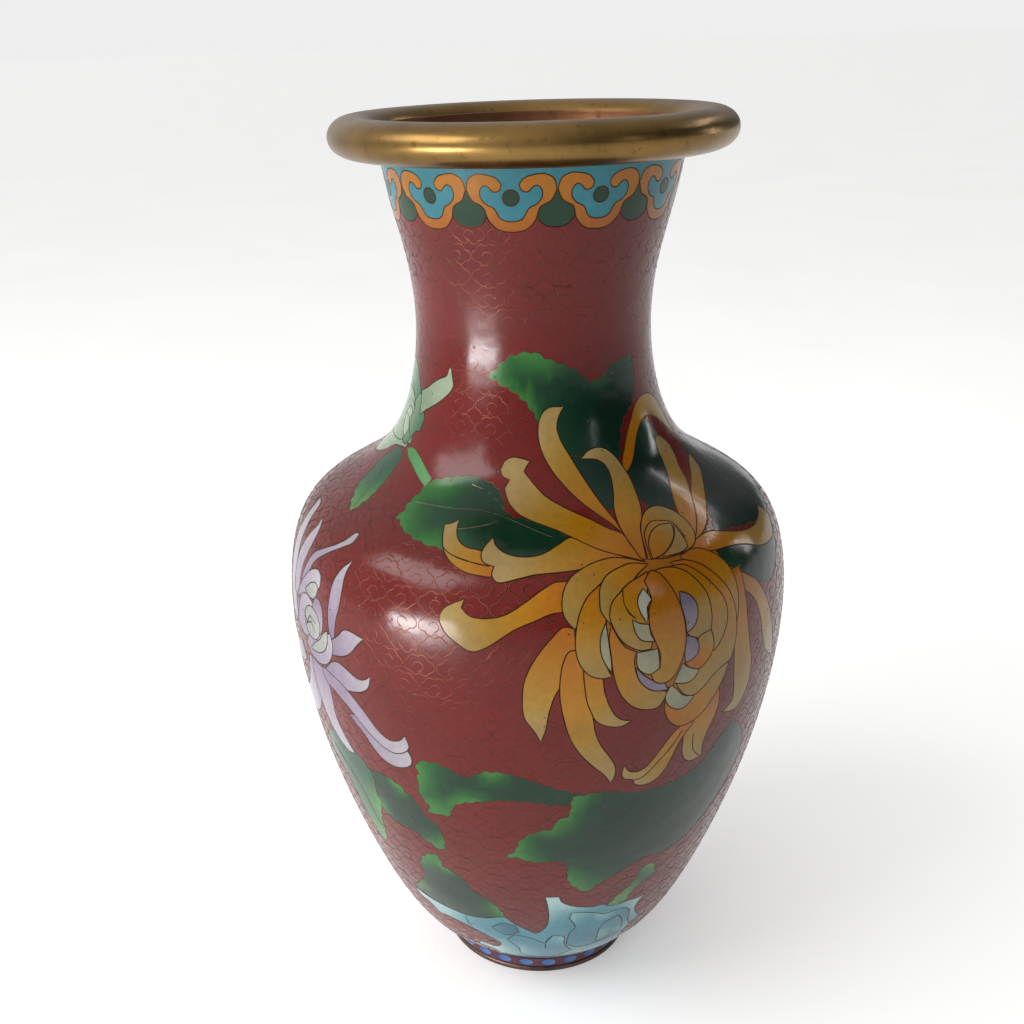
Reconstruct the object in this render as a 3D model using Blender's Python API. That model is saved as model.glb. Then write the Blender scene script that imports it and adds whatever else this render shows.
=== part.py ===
"""Cloisonne vase: copper shells, brass rim and foot rings, and enamel inlays, one object for each piece."""

import math

import bmesh
import bpy
import numpy as np
from mathutils import Vector
from mathutils.geometry import delaunay_2d_cdt

MM = 0.001
FACETS = 33  # round the vase; three for each head of the neck border
BELLY_R = 73.2  # widest radius; lengths round the vase are measured there

# Outside of the enamel, foot to rim: (height, radius) in mm.
BODY_PROFILE = (
    (6, 30.0), (13, 37.8), (26, 46.6), (47, 56.0), (73, 64.9), (99, 70.9), (120, 73.2),
    (138, 72.2), (151, 67.4), (158, 59.0), (164, 48.9), (171, 41.4), (180, 36.8), (190, 34.2),
    (204, 32.9), (221, 34.6), (237, 38.5), (249, 41.1), (251, 41.6),
)
ENAMEL = 1.1  # thickness
COPPER = 1.0
GAP = 0.3  # left between two pieces that touch
SHELL_TOP = -(ENAMEL + GAP)  # offset of the copper's outside from the enamel's
SHELL_INSIDE = SHELL_TOP - COPPER
SHELL_MIDDLE = SHELL_TOP - COPPER / 2
LAP = 4.0  # overlap of one copper shell inside the next

# Distances up the profile from its lower end.
BELLY_SEAM = 133.0
NECK_SEAM = 190.0
GROUND_END = 264.6
BORDER_START = GROUND_END + GAP
BORDER_END = 271.5
ROWS = (12, 30, 52, 76, 100, 118, 133, 143, 151, 158, 167, 176, 183, 190, 198, 210, 226, 242)

RIM_R = 48.4
RIM_Z = 254.7
RIM_HALF_WIDTH = 6.3
RIM_HALF_HEIGHT = 5.3
LIP_R = 41.7

FOOT_R = 29.6
FOOT_SEAT_R = 28.2
FOOT_INNER_R = 26.3
FOOT_TOP = 6.8
FOOT_EDGE = 1.8

HEADS = 11
FIRST_HEAD = -9.5  # middle of the first head
NECK_ROW = ROWS[-1]  # all motifs of the body end below it, and those of the border start above it
# Half outline of a border head: (distance from its middle, distance up the profile).
HEAD_HALF = (
    (0, 253.9), (8, 255), (12, 258), (14, 260.3), (20, 263), (20, 265.5), (17, 268.2), (8, 268.4),
    (4, 266.4),
)
DROP_HALF = ((0, 254.6), (4.8, 255.6), (6.3, 258), (4, 260), (0, 261.6))

# Outlines of the painted motifs: (distance round the belly, distance up the profile) in mm.
YELLOW_FLOWER = (
    (17, 207.6), (8, 206.5), (4, 203), (2.8, 198), (5, 193.5), (18.5, 182), (26, 172.5),
    (20, 174.5), (0, 187), (-4, 190.5), (-2, 193.8), (-9, 194.5), (-14, 193), (-15.5, 190.5),
    (-11.5, 188.5), (-12.5, 184), (-10, 180.5), (12, 170.5), (0, 165.3), (-6, 165), (-11, 166.5),
    (-14, 170), (-16.3, 166.5), (-22, 166.5), (-26, 170), (-28, 175), (-32, 173), (-30.5, 167),
    (-26, 162.5), (-20, 159.8), (-12, 158), (5, 160.5), (9, 159.5), (8, 157.5), (3, 156.5),
    (-10, 149), (-19, 149.5), (-19.5, 152.5), (-25, 147), (-23, 143.5), (-18, 141), (-12, 141.5),
    (0, 149), (6.5, 150.5), (8.5, 146), (5, 144), (-2.5, 131.5), (-3, 122), (1.2, 114.8),
    (5.5, 128.5), (9, 115.5), (20.5, 99.5), (22, 103), (16, 115), (15, 121), (20.5, 117.7),
    (24.8, 119), (21, 121.5), (18, 131), (29, 121.5), (34, 122), (40, 112), (31, 102), (24, 104),
    (27, 98.5), (32, 96.5), (36, 98), (41, 107), (46, 99.5), (50, 99.8), (54, 118), (57.5, 123),
    (60, 114), (57, 111.5), (63, 110.5), (67, 118), (64.5, 143), (68, 140), (79, 122), (84, 118),
    (82, 127), (74, 143), (57, 156), (62, 158), (86, 153), (96, 153.5), (88, 158), (59, 163.5),
    (86, 178), (96, 181), (88, 181.5), (72, 177), (82, 188), (81, 193), (76, 194.5), (66, 183),
    (56, 176), (44, 176), (44, 186), (60, 196.5), (70, 200), (80, 199.5), (100, 193), (96, 200),
    (86, 204), (75, 205), (62, 202.5), (52, 197.5), (45.5, 192), (36, 196), (30, 195.5),
    (24.6, 193.6), (31, 192.5), (35.5, 189.5), (35.5, 186), (31, 179), (30, 174), (26, 185),
    (14, 200), (13, 205),
)
LILAC_FLOWER = (
    (-81.7, 161), (-86, 150), (-88.5, 138), (-86, 130), (-80, 124), (-66, 119.5), (-46, 100),
    (-40, 98.5), (-36, 100.5), (-35, 105), (-36.2, 110), (-40, 104.5), (-45, 105), (-50, 108.5),
    (-60, 120.5), (-53, 120), (-47.5, 121), (-46.5, 125), (-57, 125), (-61, 129), (-54, 130),
    (-48, 136.5), (-54, 136.5), (-59, 134), (-60, 140), (-56.5, 155.7), (-62, 153), (-64, 147),
    (-64, 140), (-68, 147), (-74, 149), (-70, 155), (-62, 159), (-61, 162), (-68, 160),
    (-78, 152.5),
)
BUD = (
    (-49.5, 211.6), (-52, 216), (-64, 212.5), (-79, 206), (-95, 213.5), (-110, 214), (-122, 211),
    (-126, 204), (-119, 199), (-124, 193), (-116, 186), (-100, 187), (-90, 190), (-80, 195),
    (-76, 200), (-72, 202.5), (-62, 204), (-53, 208),
)
BUD_STEM = ((-75, 196.3), (-73, 197.5), (-66, 192.7), (-52, 186.2), (-53, 184.3), (-67, 190.3))
UPPER_LEAF = (
    (-26.7, 215.5), (-10, 211.5), (-3, 208.5), (17, 210.6), (21, 208), (17.2, 203.8),
    (22.4, 196.8), (37, 198.5), (44.5, 196.2), (51, 200.8), (62, 205.8), (68, 211), (66, 218),
    (50, 217), (40, 213.8), (33, 213.5), (24, 217), (0, 222), (-14, 220.6),
)
INNER_LEAF = ((23.8, 191.2), (28.4, 186), (30.2, 181.8), (33.2, 187), (33.2, 188.2), (30, 190.6))
LEFT_LEAF = (
    (-53, 172), (-50, 178), (-52, 181), (-48, 185.5), (-39, 188), (-25, 189), (-17, 187),
    (-11.5, 178.8), (8, 171), (0, 166.9), (-6, 166.6), (-10, 168.4), (-13, 173), (-17.4, 168.6),
    (-21.5, 168.6), (-24.5, 171.2), (-26.2, 177), (-33.9, 174.8), (-31.5, 166), (-38, 168),
    (-43, 167), (-46, 170.5),
)
RIGHT_LEAF = (
    (48, 178.2), (55, 178), (64, 183.5), (69, 189), (70, 193), (74, 197.3), (70, 198), (61, 194.6),
    (50, 188), (46, 184.5),
)
FAR_LEAF = (
    (70, 166), (80, 162.5), (90, 160.7), (99, 157.7), (108, 161), (124, 163), (132, 169), (129, 178),
    (118, 185.5), (107, 188), (101.5, 186), (99.7, 179.5), (87, 175.8), (78, 171),
)
LOWER_LEAF = (
    (-34.8, 92.7), (-34, 101.7), (-27.6, 103.5), (-20.4, 100.8), (-14, 103.5), (-3.3, 103.5),
    (9.3, 97.2), (8, 95.6), (0.3, 93.6), (-21.3, 92.7), (-26.7, 84.6), (-32, 84.6),
)
BROAD_LEAF = (
    (-9.6, 72), (-8, 76), (-3.3, 82), (9.3, 84.6), (11.6, 94), (19, 96.3), (27, 94.5), (38, 94.8),
    (44, 97), (50, 96.5), (54, 102), (62, 107), (66, 104), (72, 96), (76, 86), (54, 66),
    (38, 64.8), (27.3, 60.3), (17.4, 54), (11.5, 60), (9.3, 70.2), (2, 70),
)
SIDE_LEAF = (
    (-53, 90), (-50, 93), (-45.7, 92.7), (-40, 89.5), (-33, 77.4), (-30.3, 69.3), (-39.4, 71),
    (-53, 80),
)
ROCK_LEAF = (
    (-43, 61), (-40, 64), (-37.5, 64), (-26.7, 55.8), (-13, 43), (-20, 40), (-28, 39.5), (-40, 41),
    (-46.6, 44), (-44, 52),
)
BUD_LEAF = (
    (-89, 186), (-83, 188.5), (-78, 188), (-73, 172), (-75.4, 167.4), (-84.4, 172.8),
    (-91.6, 181.8),
)
EDGE_LEAF = (
    (-76, 96), (-66, 98), (-60, 92), (-57, 74), (-58, 62), (-64, 60), (-68, 68), (-71, 80),
    (-79, 88),
)
FRONT_ROCK = (
    (-54.7, 40.5), (-35.8, 36), (-14, 38.6), (0.3, 32.4), (3.9, 41), (3, 52), (8.4, 52.3), (9, 49),
    (22, 43.5), (46, 43), (44.4, 37.8), (50.6, 28.5), (60, 20), (75, 14.5), (90, 12), (107, 16),
    (110, 7), (80, 5), (-25, 5), (-28, 14), (-11, 24.5), (-43, 32.4),
)
REAR_LEAF_A = (
    (168, 92), (160, 100), (148, 104), (140, 98), (130, 96), (126, 86), (134, 80), (136, 70),
    (148, 72), (154, 64), (162, 74), (170, 78),
)
REAR_LEAF_B = (
    (262, 92), (270, 100), (282, 104), (300, 92), (298, 82), (288, 78), (284, 68), (274, 72),
    (262, 66),
)
REAR_LEAF_C = (
    (200, 176), (208, 190), (206, 206), (216, 214), (228, 206), (226, 190), (236, 178), (218, 172),
)
REAR_ROCK = (
    (160, 8), (168, 22), (180, 30), (186, 46), (196, 50), (202, 38), (214, 44), (226, 56),
    (234, 54), (236, 40), (250, 34), (258, 22), (276, 14), (296, 12), (298, 6), (230, 5),
)
REAR_FLOWER_CENTRE = (215, 124)
REAR_FLOWER_R = 34
REAR_FLOWER_PETALS = 12

COLOURS = {
    "brass": ((0.35, 0.22, 0.085), 1.0, 0.3),
    "copper": ((0.23, 0.12, 0.07), 1.0, 0.5),
    "red": ((0.17, 0.022, 0.018), 0.0, 0.12),
    "turquoise": ((0.1, 0.4, 0.46), 0.0, 0.12),
    "amber": ((0.62, 0.25, 0.015), 0.0, 0.12),
    "dark_green": ((0.012, 0.09, 0.045), 0.0, 0.12),
    "leaf_green": ((0.03, 0.17, 0.06), 0.0, 0.12),
    "yellow": ((0.5, 0.26, 0.04), 0.0, 0.12),
    "lilac": ((0.5, 0.38, 0.47), 0.0, 0.12),
    "rose": ((0.5, 0.2, 0.2), 0.0, 0.12),
    "pale_green": ((0.32, 0.5, 0.33), 0.0, 0.12),
    "rock_blue": ((0.26, 0.5, 0.52), 0.0, 0.12),
}


def natural_spline(knots, samples=40):
    """Points of a natural cubic spline through the knots, with centripetal spacing."""
    knots = np.array(knots, float)
    t = np.concatenate([[0], np.cumsum(np.sqrt(np.hypot(*np.diff(knots, axis=0).T)))])
    h = np.diff(t)
    count = len(knots)
    matrix = np.eye(count)
    right = np.zeros((count, 2))
    for i in range(1, count - 1):
        matrix[i, i - 1 : i + 2] = h[i - 1], 2 * (h[i - 1] + h[i]), h[i]
        slopes = np.diff(knots[i - 1 : i + 2], axis=0) / h[i - 1 : i + 1, None]
        right[i] = 6 * (slopes[1] - slopes[0])
    bend = np.linalg.solve(matrix, right)
    points = []
    for i in range(count - 1):
        for k in range(samples):
            a = 1 - k / samples
            b = 1 - a
            cubic = (a**3 - a) * bend[i] + (b**3 - b) * bend[i + 1]
            points.append(a * knots[i] + b * knots[i + 1] + cubic * h[i] ** 2 / 6)
    points.append(knots[-1])
    return np.array(points)


CURVE = natural_spline([(r, z) for z, r in BODY_PROFILE])
ARC = np.concatenate([[0], np.cumsum(np.hypot(*np.diff(CURVE, axis=0).T))])


def on_curve(arc):
    return np.array([np.interp(arc, ARC, CURVE[:, 0]), np.interp(arc, ARC, CURVE[:, 1])])


def in_section(arc, offset):
    """(radius, height) at a distance up the profile and an offset out from the enamel's face."""
    along = on_curve(min(arc + 0.5, ARC[-1])) - on_curve(max(arc - 0.5, 0))
    along /= np.hypot(*along)
    return on_curve(arc) + offset * np.array([along[1], -along[0]])


def strip(start, end, offset):
    """Section points from one distance to another at a constant offset, with a point at each row between."""
    low, high = min(start, end), max(start, end)
    arcs = [low] + [row for row in ROWS if low + 1 < row < high - 1] + [high]
    if start > end:
        arcs.reverse()
    return [tuple(in_section(arc, offset)) for arc in arcs]


def material(name):
    if name in bpy.data.materials:
        return bpy.data.materials[name]
    made = bpy.data.materials.new(name)
    made.use_nodes = True
    colour, metallic, roughness = COLOURS[name]
    shader = made.node_tree.nodes["Principled BSDF"]
    shader.inputs["Base Color"].default_value = (*colour, 1)
    shader.inputs["Metallic"].default_value = metallic
    shader.inputs["Roughness"].default_value = roughness
    made.diffuse_color = (*colour, 1)
    return made


def new_object(name, points, faces, colour):
    mesh = bpy.data.meshes.new(name)
    mesh.from_pydata([tuple(c * MM for c in point) for point in points], [], faces)
    tidy = bmesh.new()
    tidy.from_mesh(mesh)
    bmesh.ops.recalc_face_normals(tidy, faces=tidy.faces)
    tidy.to_mesh(mesh)
    tidy.free()
    mesh.shade_smooth()
    mesh.set_sharp_from_angle(angle=math.radians(40))
    made = bpy.data.objects.new(name, mesh)
    bpy.context.scene.collection.objects.link(made)
    if colour:
        made.data.materials.append(material(colour))
    return made


def turned(name, section, colour):
    """A solid of revolution from a closed section of (radius, height) points."""
    points, rings = [], []
    for radius, height in section:
        if radius == 0:
            rings.append([len(points)] * FACETS)
            points.append((0, 0, height))
            continue
        rings.append(list(range(len(points), len(points) + FACETS)))
        for k in range(FACETS):
            angle = 2 * math.pi * k / FACETS
            points.append((radius * math.sin(angle), -radius * math.cos(angle), height))
    faces = []
    for ring, after in zip(rings, rings[1:] + rings[:1]):
        for k in range(FACETS):
            j = (k + 1) % FACETS
            face = list(dict.fromkeys([ring[k], ring[j], after[j], after[k]]))
            if len(face) > 2:
                faces.append(face)
    return new_object(name, points, faces, colour)


def signed_area(outline):
    u, s = outline.T
    return np.sum(u * np.roll(s, -1) - s * np.roll(u, -1)) / 2


def prepared(outline):
    """The outline anticlockwise, with its long edges split."""
    outline = np.array(outline, float)
    if signed_area(outline) < 0:
        outline = outline[::-1]
    points = []
    for here, there in zip(outline, np.roll(outline, -1, axis=0)):
        pieces = math.ceil(np.hypot(*(there - here)) / 14)
        points += [here + (there - here) * k / pieces for k in range(pieces)]
    return np.array(points)


def grown(outline, distance):
    """The outline moved out by a distance measured on the vase."""
    shrink = np.array([on_curve(s)[0] / BELLY_R for s in outline[:, 1]])
    after = np.roll(outline, -1, axis=0) - outline
    after[:, 0] *= shrink
    normal = np.stack([after[:, 1], -after[:, 0]], axis=1)
    normal /= np.hypot(*normal.T)[:, None]
    both = normal + np.roll(normal, 1, axis=0)
    lengths = np.maximum(np.hypot(*both.T) / 2, 0.35)
    move = both / (np.hypot(*both.T) * lengths)[:, None] * distance
    move[:, 0] /= shrink
    return outline + move


def inside(point, outline):
    u, s = outline.T
    u2, s2 = np.roll(u, -1), np.roll(s, -1)
    crossing = (s > point[1]) != (s2 > point[1])
    safe = np.where(crossing, s2 - s, 1)
    return np.count_nonzero(crossing & (point[0] < u + (point[1] - s) * (u2 - u) / safe)) % 2 == 1


def cutter(name, outline):
    """A plug with the outline's shape that passes through the enamel at right angles to its face."""
    low = outline.min(axis=0)
    high = outline.max(axis=0)
    points = [Vector(p) for p in outline]
    for u in np.arange(low[0] + 4, high[0], 9):
        for s in np.arange(low[1] + 3, high[1], 7):
            near = np.hypot(*(outline - (u, s)).T).min()
            if near > 2.5 and inside((u, s), outline):
                points.append(Vector((u, s)))
    count = len(outline)
    edges = [(k, (k + 1) % count) for k in range(count)]
    chart, rim, flat = delaunay_2d_cdt(points, edges, [tuple(range(count))], 1, 1e-5)[:3]
    solid = []
    for offset in (2.5, -3.5):
        for u, s in chart:
            radius, height = in_section(s, offset)
            angle = u / BELLY_R
            solid.append((radius * math.sin(angle), -radius * math.cos(angle), height))
    faces = [tuple(face) for face in flat]
    faces += [tuple(k + len(chart) for k in reversed(face)) for face in flat]
    seen = {}
    for face in flat:
        for a, b in zip(face, list(face[1:]) + [face[0]]):
            seen[(a, b)] = True
    walls = [(a, b) for a, b in seen if (b, a) not in seen]
    faces += [(a, a + len(chart), b + len(chart), b) for a, b in walls]
    made = new_object(name, solid, faces, None)
    made.hide_render = True
    made.display_type = "WIRE"
    return made


def boolean(target, operation, other):
    cut = target.modifiers.new(operation.lower(), "BOOLEAN")
    cut.operation = operation
    cut.solver = "EXACT"
    if isinstance(other, bpy.types.Collection):
        cut.operand_type = "COLLECTION"
        cut.collection = other
    else:
        cut.object = other


def inlaid(grounds, section, motifs, pockets_name):
    """Cuts a pocket for each motif in the turned enamels, and makes the inlay that fills it."""
    pockets = bpy.data.collections.new(pockets_name)
    bpy.context.scene.collection.children.link(pockets)
    pockets.hide_render = True
    for name, outline, colour in motifs:
        outline = prepared(outline)
        pocket = cutter("pocket_" + name, grown(outline, GAP))
        bpy.context.scene.collection.objects.unlink(pocket)
        pockets.objects.link(pocket)
        piece = turned(name, section, colour)
        boolean(piece, "INTERSECT", cutter("plug_" + name, outline))
    for ground in grounds:
        boolean(ground, "DIFFERENCE", pockets)


def mirrored(half):
    return list(half) + [(-u, s) for u, s in reversed(half) if u > 0]


def moved(outline, distance):
    return [(u + distance, s) for u, s in outline]


def rosette():
    """Outline of a flower seen from the front, with rounded petals."""
    points = []
    for petal in range(REAR_FLOWER_PETALS):
        for share, reach in ((-0.5, 0.68), (-0.22, 1.0), (0.22, 1.0)):
            angle = 2 * math.pi * (petal + share) / REAR_FLOWER_PETALS
            u = REAR_FLOWER_CENTRE[0] + REAR_FLOWER_R * reach * math.cos(angle)
            points.append((u, REAR_FLOWER_CENTRE[1] + REAR_FLOWER_R * reach * math.sin(angle)))
    return points


def metal():
    rim = []
    for k in range(12):
        angle = 2 * math.pi * k / 12
        rim.append((RIM_R + RIM_HALF_WIDTH * math.cos(angle), RIM_Z + RIM_HALF_HEIGHT * math.sin(angle)))
    turned("rim_ring", rim, "brass")

    lip = [(LIP_R, RIM_Z - 0.9), (LIP_R + 0.1, 257), (LIP_R - 0.8, 257.2), (LIP_R - 0.9, RIM_Z - 0.9)]
    neck = strip(NECK_SEAM, BORDER_END, SHELL_TOP) + lip + strip(BORDER_END, NECK_SEAM - LAP, SHELL_INSIDE)
    neck += [in_section(NECK_SEAM - LAP, SHELL_MIDDLE - GAP / 2), in_section(NECK_SEAM, SHELL_MIDDLE - GAP / 2)]
    turned("neck_shell", neck, "copper")

    shoulder = strip(BELLY_SEAM, NECK_SEAM - GAP, SHELL_TOP)
    shoulder += [in_section(NECK_SEAM - GAP, SHELL_MIDDLE + GAP / 2)]
    shoulder += [in_section(NECK_SEAM - LAP - GAP, SHELL_MIDDLE + GAP / 2)]
    shoulder += strip(NECK_SEAM - LAP - GAP, BELLY_SEAM - LAP, SHELL_INSIDE)
    shoulder += [in_section(BELLY_SEAM - LAP, SHELL_MIDDLE - GAP / 2)]
    shoulder += [in_section(BELLY_SEAM, SHELL_MIDDLE - GAP / 2)]
    turned("shoulder_shell", shoulder, "copper")

    belly = strip(0, BELLY_SEAM - GAP, SHELL_TOP)
    belly += [in_section(BELLY_SEAM - GAP, SHELL_MIDDLE + GAP / 2)]
    belly += [in_section(BELLY_SEAM - LAP - GAP, SHELL_MIDDLE + GAP / 2)]
    belly += strip(BELLY_SEAM - LAP - GAP, 2.2, SHELL_INSIDE)
    flange_z = float(in_section(0, SHELL_TOP)[1])
    belly += [(23, flange_z + COPPER), (23, flange_z)]
    turned("belly_shell", belly, "copper")

    plate_top = flange_z - GAP
    plate_r = FOOT_INNER_R - GAP
    plate_low = plate_top - COPPER
    plate = [(0, plate_low), (plate_r, plate_low), (plate_r, plate_top), (0, plate_top)]
    turned("base_plate", plate, "copper")
    foot = [(FOOT_INNER_R, 0), (FOOT_R - 0.4, 0), (FOOT_R, 0.4), (FOOT_R, FOOT_EDGE)]
    foot += [(FOOT_SEAT_R, FOOT_EDGE), (FOOT_SEAT_R, FOOT_TOP), (FOOT_INNER_R, FOOT_TOP)]
    turned("foot_ring", foot, "brass")
    seat = FOOT_SEAT_R + GAP
    turned("foot_band_enamel", [(seat, 2.1), (29.4, 2.1), (29.4, 5.0), (seat, 5.0)], "red")
    turned("foot_wire", [(seat, 5.3), (29.2, 5.3), (29.2, 5.75), (seat, 5.75)], "brass")


def border_motifs():
    """Heads and drops round the neck, each head with a drop at its side."""
    pitch = 2 * math.pi * BELLY_R / HEADS
    motifs = []
    for k in range(HEADS):
        middle = FIRST_HEAD + k * pitch
        motifs.append((f"ruyi_head_{k + 1:02d}", moved(mirrored(HEAD_HALF), middle), "amber"))
        drop = moved(mirrored(DROP_HALF), middle + pitch / 2)
        motifs.append((f"green_drop_{k + 1:02d}", drop, "dark_green"))
    return motifs


def body_motifs():
    return [
        ("yellow_chrysanthemum", YELLOW_FLOWER, "yellow"),
        ("lilac_chrysanthemum", LILAC_FLOWER, "lilac"),
        ("rear_chrysanthemum", rosette(), "rose"),
        ("bud", BUD, "pale_green"),
        ("bud_stem", BUD_STEM, "leaf_green"),
        ("bud_leaf", BUD_LEAF, "leaf_green"),
        ("upper_leaf", UPPER_LEAF, "dark_green"),
        ("inner_leaf", INNER_LEAF, "dark_green"),
        ("left_leaf", LEFT_LEAF, "leaf_green"),
        ("right_leaf", RIGHT_LEAF, "dark_green"),
        ("far_leaf", FAR_LEAF, "dark_green"),
        ("lower_leaf", LOWER_LEAF, "leaf_green"),
        ("broad_leaf", BROAD_LEAF, "leaf_green"),
        ("side_leaf", SIDE_LEAF, "leaf_green"),
        ("rock_leaf", ROCK_LEAF, "leaf_green"),
        ("edge_leaf", EDGE_LEAF, "leaf_green"),
        ("front_rock", FRONT_ROCK, "rock_blue"),
        ("rear_rock", REAR_ROCK, "rock_blue"),
        ("rear_leaf_a", REAR_LEAF_A, "leaf_green"),
        ("rear_leaf_b", REAR_LEAF_B, "leaf_green"),
        ("rear_leaf_c", REAR_LEAF_C, "dark_green"),
    ]


def enamel():
    red = turned("red_ground_enamel", strip(0, GROUND_END, 0) + strip(GROUND_END, 0, -ENAMEL), "red")
    band = strip(BORDER_START, BORDER_END, 0) + strip(BORDER_END, BORDER_START, -ENAMEL)
    turquoise = turned("neck_border_enamel", band, "turquoise")
    body = strip(0, NECK_ROW, 0) + strip(NECK_ROW, 0, -ENAMEL)
    inlaid([red], body, body_motifs(), "body_pockets")
    neck = strip(NECK_ROW, BORDER_END, 0) + strip(BORDER_END, NECK_ROW, -ENAMEL)
    inlaid([red, turquoise], neck, border_motifs(), "neck_pockets")


for existing in list(bpy.data.objects):
    bpy.data.objects.remove(existing, do_unlink=True)
metal()
enamel()
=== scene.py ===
"""Cloisonne vase: enamel cells between metal wires, brass rim and foot, on a pale floor."""

import math

import bpy
import numpy as np
from mathutils import Matrix, Vector
from mathutils.geometry import delaunay_2d_cdt


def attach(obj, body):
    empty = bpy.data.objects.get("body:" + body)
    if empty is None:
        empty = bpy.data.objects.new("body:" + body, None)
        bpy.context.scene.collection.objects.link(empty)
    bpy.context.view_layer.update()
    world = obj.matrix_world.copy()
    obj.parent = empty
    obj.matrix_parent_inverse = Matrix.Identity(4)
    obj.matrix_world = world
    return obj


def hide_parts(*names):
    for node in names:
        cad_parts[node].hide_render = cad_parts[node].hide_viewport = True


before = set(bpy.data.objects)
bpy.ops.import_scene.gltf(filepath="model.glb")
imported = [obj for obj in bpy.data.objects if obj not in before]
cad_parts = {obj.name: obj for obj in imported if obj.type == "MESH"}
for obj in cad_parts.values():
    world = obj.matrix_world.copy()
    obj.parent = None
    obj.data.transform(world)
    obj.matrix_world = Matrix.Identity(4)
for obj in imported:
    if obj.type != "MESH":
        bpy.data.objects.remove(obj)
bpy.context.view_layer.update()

MM = 0.001
BELLY_R = 73.2  # lengths round the vase are measured here

# Outside of the enamel, foot to rim: (height, radius) in mm.
BODY_PROFILE = (
    (6, 30.0), (13, 37.8), (26, 46.6), (47, 56.0), (73, 64.9), (99, 70.9), (120, 73.2), (138, 72.2),
    (151, 67.4), (158, 59.0), (164, 48.9), (171, 41.4), (180, 36.8), (190, 34.2), (204, 32.9), (221, 34.6),
    (237, 38.5), (249, 41.1), (251, 41.6),
)
ENAMEL = 1.1  # thickness
COPPER = 1.0
GAP = 0.3
NECK_SEAM = 190.0
LAP = 4.0
GROUND_END = 264.6
BORDER_END = 271.5
RIM_R, RIM_Z, RIM_HALF_WIDTH, RIM_HALF_HEIGHT = 48.4, 254.7, 6.3, 5.3
LIP_R = 41.7
FOOT_R, FOOT_SEAT_R, FOOT_INNER_R, FOOT_TOP, FOOT_EDGE = 29.6, 28.2, 26.3, 6.8, 1.8
HEADS, FIRST_HEAD = 11, -9.5
ROUND = 160  # facets of the turned metal


# ---------------------------------------------------------------- the surface

def natural_spline(knots, samples=40):
    """Points of a natural cubic spline through the knots, with centripetal spacing."""
    knots = np.array(knots, float)
    t = np.concatenate([[0], np.cumsum(np.sqrt(np.hypot(*np.diff(knots, axis=0).T)))])
    h = np.diff(t)
    count = len(knots)
    matrix = np.eye(count)
    right = np.zeros((count, 2))
    for i in range(1, count - 1):
        matrix[i, i - 1 : i + 2] = h[i - 1], 2 * (h[i - 1] + h[i]), h[i]
        slopes = np.diff(knots[i - 1 : i + 2], axis=0) / h[i - 1 : i + 1, None]
        right[i] = 6 * (slopes[1] - slopes[0])
    bend = np.linalg.solve(matrix, right)
    points = []
    for i in range(count - 1):
        for k in range(samples):
            a = 1 - k / samples
            b = 1 - a
            cubic = (a**3 - a) * bend[i] + (b**3 - b) * bend[i + 1]
            points.append(a * knots[i] + b * knots[i + 1] + cubic * h[i] ** 2 / 6)
    points.append(knots[-1])
    return np.array(points)


class Skin:
    """A turned surface with a flat chart.

    u is the distance round at the unit radius, s the distance up the section, both in mm.
    """

    def __init__(self, section, unit):
        self.section = np.array(section, float)
        self.arc = np.concatenate([[0], np.cumsum(np.hypot(*np.diff(self.section, axis=0).T))])
        self.unit = unit
        self.half = math.pi * unit
        slope = np.gradient(self.section, self.arc, axis=0)
        self.slope = slope / np.hypot(*slope.T)[:, None]

    def radius(self, s):
        return np.interp(s, self.arc, self.section[:, 0])

    def lean(self, s):
        dr = np.interp(s, self.arc, self.slope[:, 0])
        dz = np.interp(s, self.arc, self.slope[:, 1])
        length = np.hypot(dr, dz)
        return dz / length, -dr / length

    def place(self, u, s, offset=0.0):
        out, up = self.lean(s)
        r = self.radius(s) + offset * out
        z = np.interp(s, self.arc, self.section[:, 1]) + offset * up
        turn = np.asarray(u) / self.unit
        return np.stack([r * np.sin(turn), -r * np.cos(turn), z], axis=-1) * MM

    def facing(self, u, s):
        out, up = self.lean(s)
        turn = np.asarray(u) / self.unit
        return np.stack([out * np.sin(turn), -out * np.cos(turn), up + 0 * turn], axis=-1)

    def stretch(self, s):
        """Chart millimetres round the vase for one real millimetre."""
        return self.unit / self.radius(s)


BODY = Skin(natural_spline([(r, z) for z, r in BODY_PROFILE]), BELLY_R)
BAND = Skin([(29.4, 2.1), (29.4, 3.5), (29.4, 5.0)], 29.4)


def linear(code):
    """Linear colour from a hexadecimal display colour."""
    parts = [int(code[k : k + 2], 16) / 255 for k in (0, 2, 4)]
    return np.array([c / 12.92 if c < 0.04045 else ((c + 0.055) / 1.055) ** 2.4 for c in parts])


FRILL_PITCH, FRILL_DEPTH = 3.6, 0.7  # teeth of the leaves
TONE = 0.42  # share of the light in the colours named below that the enamel gives back
CORNER = math.radians(62)  # a sharper turn in an outline stays a corner
ROW = 0.87  # height of a row of inner points, in grains
CLEAR = 1.1  # inner points stay about this far from an outline
EDGE_REACH, EDGE_GLOW = 2.5, 0.15  # a leaf is paler near its edge
TIP_CORE = 0.6  # share of a tip's brightness that reaches inwards
WIRE_LEAN = 0.35  # how far the sides of a wire face sideways
PLAIN = (0, 0, 0, 1)  # the line of a cell with one colour


def clockwise(outline):
    u, s = outline.T
    return np.sum(u * np.roll(s, -1) - s * np.roll(u, -1)) < 0


# ---------------------------------------------------------------- outlines

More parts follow.
